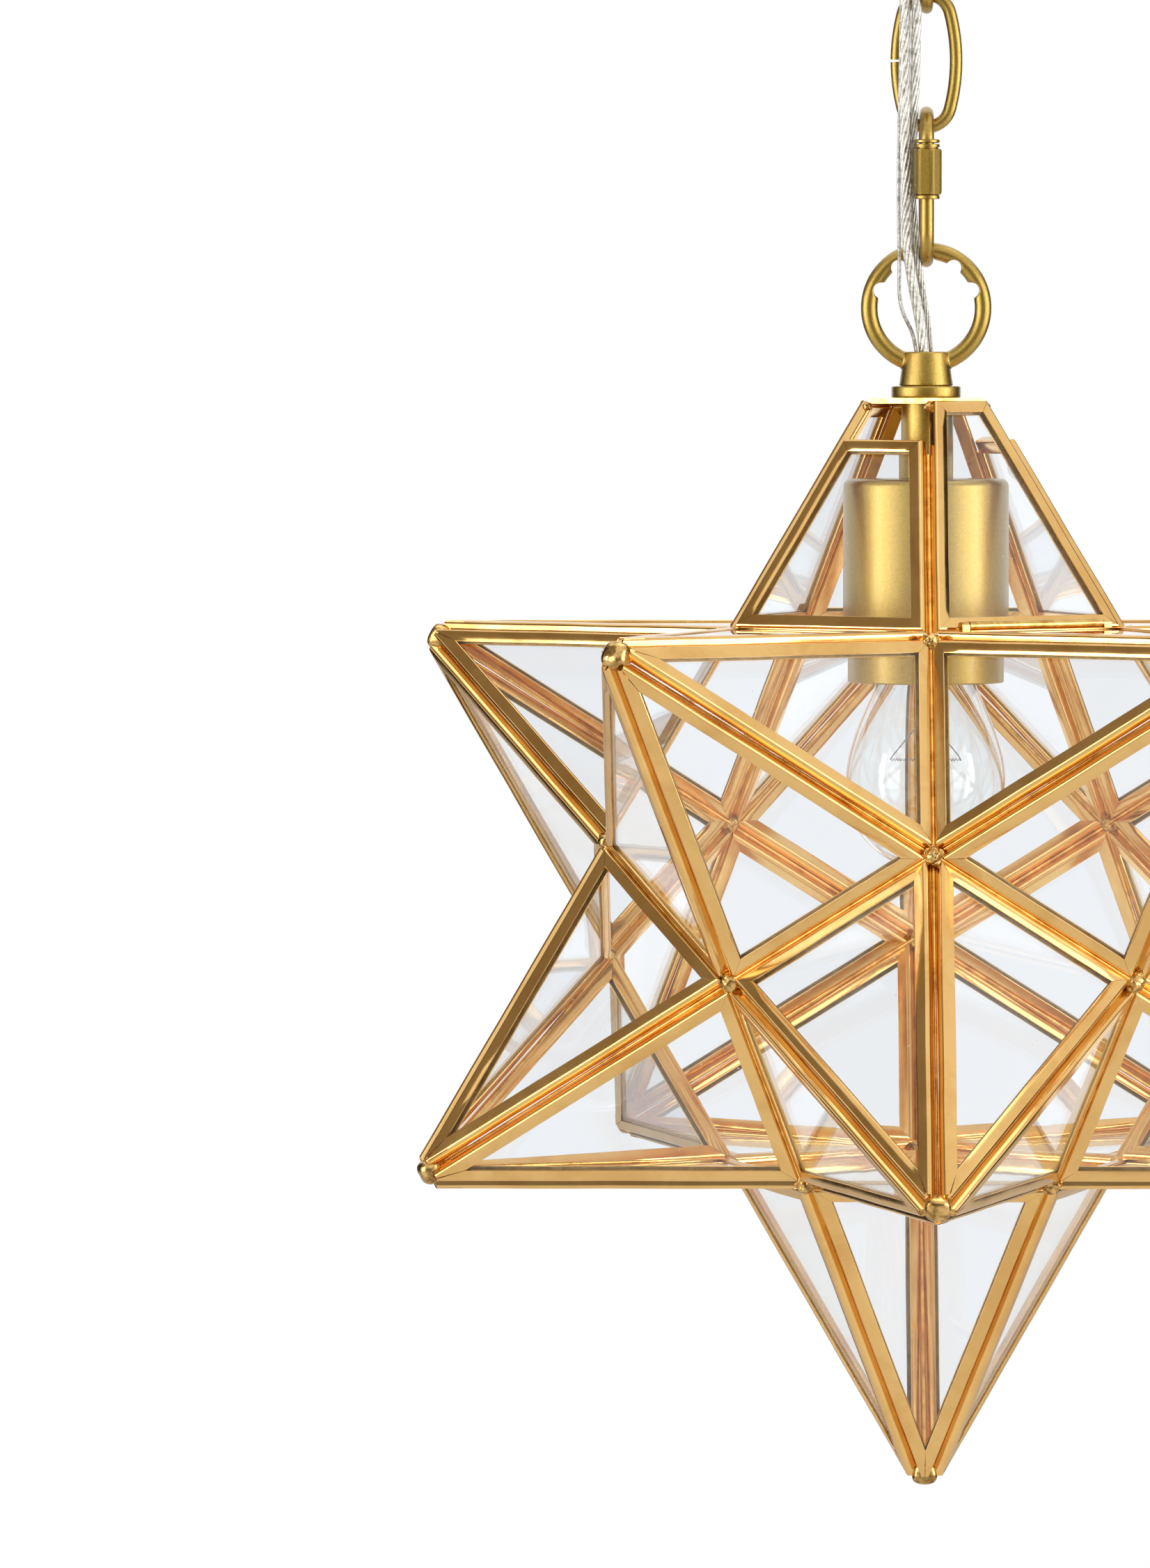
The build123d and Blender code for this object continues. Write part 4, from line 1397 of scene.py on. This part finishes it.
@dataclass
class Bulb:
    """A clear bulb: blown envelope, rolled cap, pressed mount and coiled filament."""

    palette: Palette
    star: StarShape
    top: float = 97.6
    length: float = 88.0
    widest: float = 34.5
    bulb_r: float = 23.7
    base_r: float = 13.2
    base_l: float = 24.0
    wall: float = 0.7
    mount_l: float = 23.6
    coil_drop: float = 12.0
    coil_half: float = 11.0
    coil_r: float = 0.36
    coil_turns: int = 26
    thread_pitch: float = 3.6
    thread_depth: float = 0.88
    threads: int = 5

    def skin(self, shrink: float) -> list[Pair]:
        """The envelope's side from its mouth to its round end.

        Args:
            shrink: how far it is drawn in.

        Returns:
            Radius and height pairs over the star's centre.
        """
        mouth, neck, bottom = self.top - self.base_l, self.base_r - 1 - shrink, self.top - self.length
        r = self.bulb_r - shrink
        side = [(neck, mouth + 2), (neck, mouth)]
        waist = [(neck, mouth - 1), (neck, mouth - 9.8), (r, self.widest + 14), (r, self.widest)]
        low = bottom + shrink
        end = [(r, self.widest), (r, self.widest - 13.6), (13.0, low), (ON_AXIS, low)]
        side += bezier(waist, 30) + bezier(end, 30)[1:]
        return side

    def build(self) -> None:
        """Builds the envelope, the cap, the mount and the filament."""
        centre = self.star.centre
        outer, inner = self.skin(0), self.skin(self.wall)
        glass = lathe([*outer, *reversed(inner)], centre, 160).mesh("blown_envelope", 50)
        self.place(glass, "bulb_envelope", "bulb_glass", "blown")
        low, root = self.top - self.base_l, self.base_r - 0.9
        neck = self.base_r - 1
        cap = [(neck, low), (self.base_r - 0.4, low), (root, low + 2.0)]
        for i in range(self.threads):
            foot = low + 2.2 + i * self.thread_pitch
            for k in range(9):
                swell = 0.5 - 0.5 * math.cos(2 * math.pi * k / 9)
                cap.append((root + self.thread_depth * swell, foot + self.thread_pitch * k / 9))
        end = low + 20.2
        cap += [(root, end), (4.8, self.top - 1.4), (4.2, self.top - 0.2), (3.6, self.top),
                (ON_AXIS, self.top), (ON_AXIS, self.top - 3.4), (neck, end - 1.6)]
        screw = lathe(cap, centre, 96).mesh("screw_cap", 40)
        self.place(screw, "bulb_base", "bulb_cap", "shell")
        mouth, stop, flare = low + 2, low + 2 - self.mount_l, neck - self.wall - 0.1
        foot = [(flare, mouth), (6.5, mouth - 1.5), (4.2, mouth - 5), (4.0, mouth - 9)]
        press = [(4.0, mouth - 9), (3.2, mouth - 13), (2.3, mouth - 15), (2.0, stop + 0.5)]
        stem = [(ON_AXIS, mouth), *bezier(foot, 10), *bezier(press, 8)[1:],
                (1.6, stop), (ON_AXIS, stop)]
        mount = lathe(stem, centre, 64).mesh("pressed_mount", 50)
        self.place(mount, "bulb_mount", "bulb_glass", "blown")
        self.filament(stop)

    def filament(self, mount_end: float) -> None:
        """Builds the two support wires and the fine coil between them.

        Args:
            mount_end: where the glass mount ends, in millimetres over the star's centre.
        """
        coil_z = mount_end - self.coil_drop
        sketch = Sketch()
        for side in (-1, 1):
            wire = [(2.2, mount_end + 2), (2.2, mount_end), (3.0, mount_end - 2),
                    (self.coil_half - 0.8, coil_z + 1.2), (self.coil_half - 0.1, coil_z)]
            path = np.array([self.star.place(Vector((side * x, 0, z))) for x, z in wire])
            tube(sketch, path, 0.2 * MM, 10)
        per = 10
        steps = np.arange(self.coil_turns * per + 1)
        coil = np.zeros((len(steps), 3))
        coil[:, 0] = -self.coil_half + 2 * self.coil_half * steps / (self.coil_turns * per)
        coil[:, 1] = self.coil_r * np.cos(steps * 2 * math.pi / per)
        coil[:, 2] = coil_z + self.coil_r * np.sin(steps * 2 * math.pi / per)
        tube(sketch, np.array([self.star.place(Vector(p)) for p in coil]), 0.11 * MM, 6)
        wires = sketch.mesh("coiled_filament", 60)
        self.place(wires, "bulb_filament", "filament_wire", "tungsten")

    def place(self, made: Thing, node: str, slot: str, finish: str) -> None:
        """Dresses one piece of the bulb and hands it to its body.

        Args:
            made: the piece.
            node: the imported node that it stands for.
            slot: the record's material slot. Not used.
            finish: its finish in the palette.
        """
        hand_to(dress(made, self.palette.get(finish)), Body.BULB, node)
        LOG.info("bulb: %s", made.name)


# ---------------------------------------------------------------------------------------------
# Cords
# ---------------------------------------------------------------------------------------------


@dataclass
class Cords:
    """The clear twin flex and the bare twisted ground wire beside it."""

    palette: Palette
    flex_width: float = 6.2
    flex_thick: float = 3.1
    flex_pinch: float = 0.12
    strand_r: float = 0.5
    strand_ring: float = 0.93
    flex_lay: float = 26.0
    ground_d: float = 1.1
    ground_lay: float = 7.0
    flex_route: tuple = (
        (0.3, 0, -212.194), (0.3, 0, -199.194), (-4.3, -5.2, -176.394), (-5.5, -4.7, -152.894),
        (-4.6, -4.8, -110.894), (-4.4, -5.3, -65.5), (0.3, 0, -40.9), (0.3, 0, -1.0))
    ground_route: tuple = (
        (-2.3, 0, -212.194), (-2.3, -0.1, -199.194), (-8.0, -3.6, -189.394), (-7.8, -5.2, -176.894),
        (-8.2, -4.9, -152.894), (-7.4, -4.9, -110.894), (-7.2, -5.4, -65.5), (-2.3, -0.1, -40.5),
        (-2.3, 0, -1.0))
    breaks: tuple = (-76.0, -114.5, -153.0)
    joints: tuple = (-64.8072, -99.2572, -137.4572, -175.8072)
    bend_reach: float = 9.0

    def line(self, route: tuple) -> np.ndarray:
        """Points along the smooth spline of a route.

        Args:
            route: its control points in millimetres.

        Returns:
            Points by three, in metres, from the top down.
        """
        curve = bpy.data.curves.new("route", "CURVE")
        curve.dimensions = "3D"
        curve.resolution_u = 40
        spline = curve.splines.new("NURBS")
        spline.points.add(len(route) - 1)
        for held, point in zip(spline.points, route):
            held.co = (*(c * MM for c in point), 1)
        spline.order_u = 3
        spline.use_endpoint_u = True
        holder = new_object("route", curve)
        bpy.context.view_layer.update()
        shape = bpy.data.meshes.new_from_object(holder)
        points = np.array([v.co[:] for v in shape.vertices])
        bpy.data.objects.remove(holder)
        bpy.data.meshes.remove(shape)
        return points[::-1] if points[0, 2] < points[-1, 2] else points

    @staticmethod
    def resampled(points: np.ndarray, step: float) -> np.ndarray:
        """The same line with its points step metres apart."""
        run = run_along(points)
        count = max(int(run[-1] / step), 4)
        wanted = np.linspace(0, run[-1], count + 1)
        return np.stack([np.interp(wanted, run, points[:, k]) for k in range(3)], axis=1)

    def stretches(self, route: tuple) -> list[np.ndarray]:
        """A route's line, cut at the three breaks so each part crosses one joint."""
        points = self.resampled(self.line(route), 0.0008)
        edges = [1.0, *(b * MM for b in self.breaks), -9.0]
        found = []
        for high, low in zip(edges, edges[1:]):
            chosen = np.where((points[:, 2] <= high) & (points[:, 2] > low))[0]
            last = min(chosen[-1] + 2, len(points))
            found.append(points[chosen[0]:last])
        return found

    def build(self) -> None:
        """Builds both cords, each in four stretches."""
        for route, make, width, node, slot in (
            (self.flex_route, self.flex, self.flex_width, "supply_cord", "clear_cord"),
            (self.ground_route, self.ground, self.ground_d, "ground_wire", "tinned_wire"),
        ):
            for index, path in enumerate(self.stretches(route)):
                made = make(path, index)
                self.bend(made)
                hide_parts(node)

    @staticmethod
    def twisted(
        middle: np.ndarray, run: np.ndarray, side: np.ndarray, up: np.ndarray, ring: float, lay: float
    ) -> list[np.ndarray]:
        """The centre lines of six strands laid round a seventh.

        Args:
            middle: the seventh strand's centre line, in metres.
            run: the length along the cord at each point.
            side: a unit vector square to the cord at each point.
            up: another, square to both.
            ring: how far the strands lie from the middle, in millimetres.
            lay: the length of one full turn, in millimetres.

        Returns:
            Six lines of points by three, in metres.
        """
        turns = [2 * math.pi * (k / 6 + run / (lay * MM)) for k in range(6)]
        outward = [np.cos(t)[:, None] * side + np.sin(t)[:, None] * up for t in turns]
        return [middle + ring * MM * way for way in outward]

    def flex(self, path: np.ndarray, index: int) -> Thing:
        """Builds one stretch of the twin flex: a clear jacket round two bundles of strands.

        Args:
            path: its centre line, in metres.
            index: which stretch it is, from the top.

        Returns:
            The piece, with a material for jacket and strands.
        """
        heading = np.gradient(path, axis=0)
        heading /= np.linalg.norm(heading, axis=1)[:, None]
        turn = np.interp(path[:, 2] / MM, [-220, -203, -171, -158, -100, -60, -30],
                         [69, 69, 43, 69, 0, 30, 69])
        turn = np.radians(turn)
        wide = np.stack([np.cos(turn), np.sin(turn), np.zeros(len(turn))], axis=1)
        wide -= heading * np.sum(wide * heading, axis=1)[:, None]
        wide /= np.linalg.norm(wide, axis=1)[:, None]
        thin = np.cross(heading, wide)
        lobe = self.flex_thick / 2
        spread = (self.flex_width - self.flex_thick) / 2
        outline = []
        for k in range(40):
            angle = 2 * math.pi * k / 40
            x, y = math.cos(angle), math.sin(angle)
            reach = spread * (1 if x >= 0 else -1) if abs(x) > 0.05 else 0
            pinch = 1 - self.flex_pinch * math.exp(-(((reach + lobe * x) / 0.7) ** 2))
            outline.append((reach + lobe * x, lobe * y * pinch))
        shape = np.array(outline) * MM
        sketch = Sketch()
        rows = path[:, None, :] + shape[None, :, :1] * wide[:, None, :]
        rows = rows + shape[None, :, 1:] * thin[:, None, :]
        sketch.grid(rows)
        jacket_faces = len(sketch.faces)
        for side in (-1, 1):
            middle = path + wide * (side * spread * MM)
            tube(sketch, middle, self.strand_r * MM, 12)
            run = run_along(path)
            for line in self.twisted(middle, run, wide, thin, self.strand_ring, self.flex_lay):
                tube(sketch, line, self.strand_r * MM, 12)
        made = sketch.mesh(f"flex_{index + 1}", 60)
        for finish in ("jacket", "tinned"):
            made.data.materials.append(self.palette.get(finish))
        inside = [0] * jacket_faces + [1] * (len(sketch.faces) - jacket_faces)
        made.data.polygons.foreach_set("material_index", inside)
        return made

    def ground(self, path: np.ndarray, index: int) -> Thing:
        """Builds one stretch of the ground wire: seven strands twisted together.

        Args:
            path: its centre line, in metres.
            index: which stretch it is, from the top.

        Returns:
            The piece.
        """
        fine = self.resampled(path, 0.0005)
        sides, ups = frames_along(fine)
        sketch = Sketch()
        tube(sketch, fine, self.ground_d / 6 * MM, 8)
        ring = self.ground_d / 3
        for line in self.twisted(fine, run_along(fine), sides, ups, ring, self.ground_lay):
            tube(sketch, line, self.ground_d / 6 * 1.04 * MM, 8)
        made = sketch.mesh(f"ground_{index + 1}", 60)
        return dress(made, self.palette.get("tinned"))

    def bend(self, made: Thing) -> None:
        """Bakes a stretch's placement into its mesh."""
        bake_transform(made)


# ---------------------------------------------------------------------------------------------
# The studio
# ---------------------------------------------------------------------------------------------


@dataclass
class Studio:
    """Camera, floor, world, lamps and the grey cards that metal and glass reflect."""

    star: StarShape
    stand: Triple = (-57.4, -2435.3, 153.1)
    aim_left: float = 1.04
    aim_down: float = 2.81
    roll: float = -0.04
    lens: float = 193.06
    floor_z: float = -1.3
    floor_r: float = 4.0
    floor_sides: int = 96
    # Name, place and size in metres from the star's centre, and power in watts.
    lamps: tuple = (
        ("left_box", (-1.9, -1.45, 0.4), (1.3, 1.6), 13.5),
        ("right_box", (1.95, -1.4, 0.4), (1.3, 1.6), 13.5),
        ("top", (0.1, 0.1, 1.9), (2.0, 1.6), 12.0),
        ("left_strip", (-2.25, -0.78, 0.1), (0.28, 1.6), 11.0),
        ("right_strip", (2.28, -0.7, 0.1), (0.28, 1.6), 11.0),
    )
    # Name, place, size, grey and the point that each faces.
    cards: tuple = (
        ("below", (0, 1.35, -0.95), (3.4, 2.5), "#0F0D0B", (0, 1.35, 0)),
        ("front", (0.0, -3.3, 0.1), (3.4, 2.4), "#86817A", (0, 0, 0)),
        ("upper_left", (-1.75, -0.1, 1.25), (1.9, 1.3), "#8E8374", (0, 0, 0)),
        ("low_left", (-2.5, -0.7, -0.95), (2.6, 0.9), "#A8A39D", (0, 0, 0)),
        ("low_right", (2.5, -0.7, -0.95), (2.6, 0.9), "#B4B0AA", (0, 0, 0)),
        ("rear_left", (-0.86, 2.03, -0.55), (0.76, 1.1), "#CBC4B8", (0, 0, 0)),
        ("rear_right", (0.86, 2.03, -0.55), (0.76, 1.1), "#CBC4B8", (0, 0, 0)),
        ("back_left", (-2.05, 1.43, 0.0), (2.05, 3.4), "#37312B", (0, 0, 0)),
        ("back_right", (2.05, 1.43, 0.0), (2.05, 3.4), "#3C362F", (0, 0, 0)),
    )

    def camera(self) -> None:
        """Places the camera where the photographer stood."""
        data = bpy.data.cameras.new("camera")
        data.sensor_width = 36.0
        data.sensor_fit = "AUTO"
        data.lens = self.lens
        data.clip_end = 100
        made = new_object("camera", data)
        left, down = math.radians(self.aim_left), math.radians(self.aim_down)
        level = math.cos(down)
        ahead = Vector((-math.sin(left) * level, math.cos(left) * level, -math.sin(down)))
        roll = Matrix.Rotation(math.radians(self.roll), 3, "Z")
        turn = ahead.to_track_quat("-Z", "Y").to_matrix() @ roll
        made.matrix_world = Matrix.Translation(self.star.place(Vector(self.stand))) @ turn.to_4x4()
        bpy.context.scene.camera = made

    def white_for_eyes(self, tree: Tree, in_metal: float = 1.0) -> bpy.types.Node:
        """Adds the switch that is 1 for camera and transmission rays, and as told for glossy ones.

        Args:
            tree: the node tree it goes into.
            in_metal: its value for glossy rays.

        Returns:
            The last node of the switch.
        """
        path = add(tree, "LightPath").outputs
        made = add(tree, "Math", {0: path["Is Glossy Ray"]}, {1: in_metal}, operation="MULTIPLY")
        for ray in ("Is Camera Ray", "Is Transmission Ray"):
            made = add(tree, "Math", {0: made.outputs[0], 1: path[ray]}, operation="MAXIMUM")
        return made

    def world(self) -> None:
        """Makes the world white to the eye and softly grey as a light."""
        made = bpy.data.worlds.new("studio")
        made.use_nodes = True
        tree = made.node_tree
        tree.nodes.clear()
        seen = self.white_for_eyes(tree)
        strength = add(
            tree, "MapRange", {"Value": seen.outputs[0]}, {"To Min": 0.4, "To Max": 1.0},
        )
        light = add(
            tree, "Background", {"Strength": strength.outputs["Result"]},
            {"Color": linear("#FFFFFF")},
        )
        add(tree, "OutputWorld", {"Surface": light.outputs["Background"]})
        bpy.context.scene.world = made

    def facing(
        self, made: Thing, at: Triple, look: Triple, front: str
    ) -> None:
        """Puts an object in its place, turned to a point.

        Args:
            made: the object.
            at: its place in metres from the star's centre.
            look: the point it faces, in metres from the star's centre.
            front: the object's own axis that faces it.
        """
        turn = (Vector(look) - Vector(at)).to_track_quat(front, "Y").to_matrix().to_4x4()
        made.matrix_world = Matrix.Translation(self.star.centre + Vector(at)) @ turn

    def card(
        self,
        name: str,
        at: Triple,
        size: Pair,
        grey: str,
        look: Triple,
    ) -> None:
        """Adds a card that only reflections see.

        Args:
            name: its name.
            at: its centre in metres from the star's centre.
            size: its width and height in metres.
            grey: its colour.
            look: the point it faces, in metres from the star's centre.
        """
        data = bpy.data.meshes.new(name)
        w, h = size[0] / 2, size[1] / 2
        data.from_pydata([(-w, -h, 0), (w, -h, 0), (w, h, 0), (-w, h, 0)], [], [(0, 1, 2, 3)])
        made = new_object(name, data)
        self.facing(made, at, look, "Z")
        paint, tree = new_material(f"{name}_card")
        glow = add(tree, "Emission", None, {"Color": linear(grey), "Strength": 1.0})
        add(tree, "OutputMaterial", {"Surface": glow.outputs["Emission"]})
        data.materials.append(paint)
        made.visible_camera = False
        made.visible_diffuse = False
        made.visible_shadow = False
        made.visible_transmission = False
        made.visible_volume_scatter = False

    def floor(self) -> None:
        """Lays the pale round floor that keeps the object's shadow, with a painted glow that is
        weaker in the middle and full towards the rim, where it pales into the backdrop.
        """
        data = bpy.data.meshes.new("floor")
        turns = [2 * math.pi * i / self.floor_sides for i in range(self.floor_sides)]
        rim = [(self.floor_r * math.cos(t), self.floor_r * math.sin(t), 0) for t in turns]
        data.from_pydata(rim, [], [tuple(range(self.floor_sides))])
        made = new_object("floor", data)
        made.location = (0, 0, self.floor_z)
        paint, tree = new_material("pale_floor_painted_glow")
        seen = self.white_for_eyes(tree, 0.25)
        matt = add(
            tree, "BsdfPrincipled", None, {"Base Color": linear("#F4F4F4"), "Roughness": 0.9},
        )
        where = add(tree, "TexCoord")
        far = add(tree, "VectorMath", {0: where.outputs["Object"]}, operation="LENGTH")
        # Painted glow on the floor: 0.4 of full near the middle, rising to full towards the rim.
        glow_towards_rim = add(
            tree, "MapRange", {"Value": far.outputs["Value"]},
            {"From Min": 1.2, "From Max": 3.6, "To Min": 0.4, "To Max": 1.0},
            interpolation_type="SMOOTHSTEP",
        )
        lift = add(
            tree, "Math", {0: seen.outputs[0], 1: glow_towards_rim.outputs["Result"]}, operation="MULTIPLY",
        )
        glow = add(tree, "Emission", {"Strength": lift.outputs[0]}, {"Color": linear("#FFFFFF")})
        both = add(tree, "AddShader", {0: matt.outputs["BSDF"], 1: glow.outputs["Emission"]})
        add(tree, "OutputMaterial", {"Surface": both.outputs["Shader"]})
        data.materials.append(paint)

    def lamp(
        self, name: str, at: Triple, size: Pair, power: float
    ) -> None:
        """Adds a soft lamp that faces the star.

        Args:
            name: its name.
            at: its place in metres from the star's centre.
            size: its width and height in metres.
            power: its power in watts.
        """
        data = bpy.data.lights.new(name, "AREA")
        data.shape = "RECTANGLE"
        data.size, data.size_y = size
        data.energy = power
        made = new_object(name, data)
        self.facing(made, at, (0, 0, 0), "-Z")
        made.visible_camera = False

    def build(self) -> None:
        """Sets up everything round the lamp."""
        scene = bpy.context.scene
        scene.view_settings.view_transform = "Standard"
        scene.cycles.max_bounces = 40
        scene.cycles.transmission_bounces = 36
        scene.cycles.glossy_bounces = 10
        scene.cycles.transparent_max_bounces = 40
        self.camera()
        self.world()
        self.floor()
        for lamp in self.lamps:
            self.lamp(*lamp)
        for card in self.cards:
            self.card(*card)
        LOG.info("studio set")


def main() -> None:
    """Builds the studio and every sub-assembly in order."""
    logging.basicConfig(level=logging.INFO, format="%(name)s: %(message)s")
    star = StarShape()
    palette = Palette()
    Studio(star).build()
    Cords(palette).build()
    ChannelWork(star, palette).build()
    SolderWork(star, palette).build()
    CastLoops(palette).build()
    Chain(palette).build()
    TopFitting(palette).build()
    Bulb(palette, star).build()


if __name__ == "__main__":
    main()
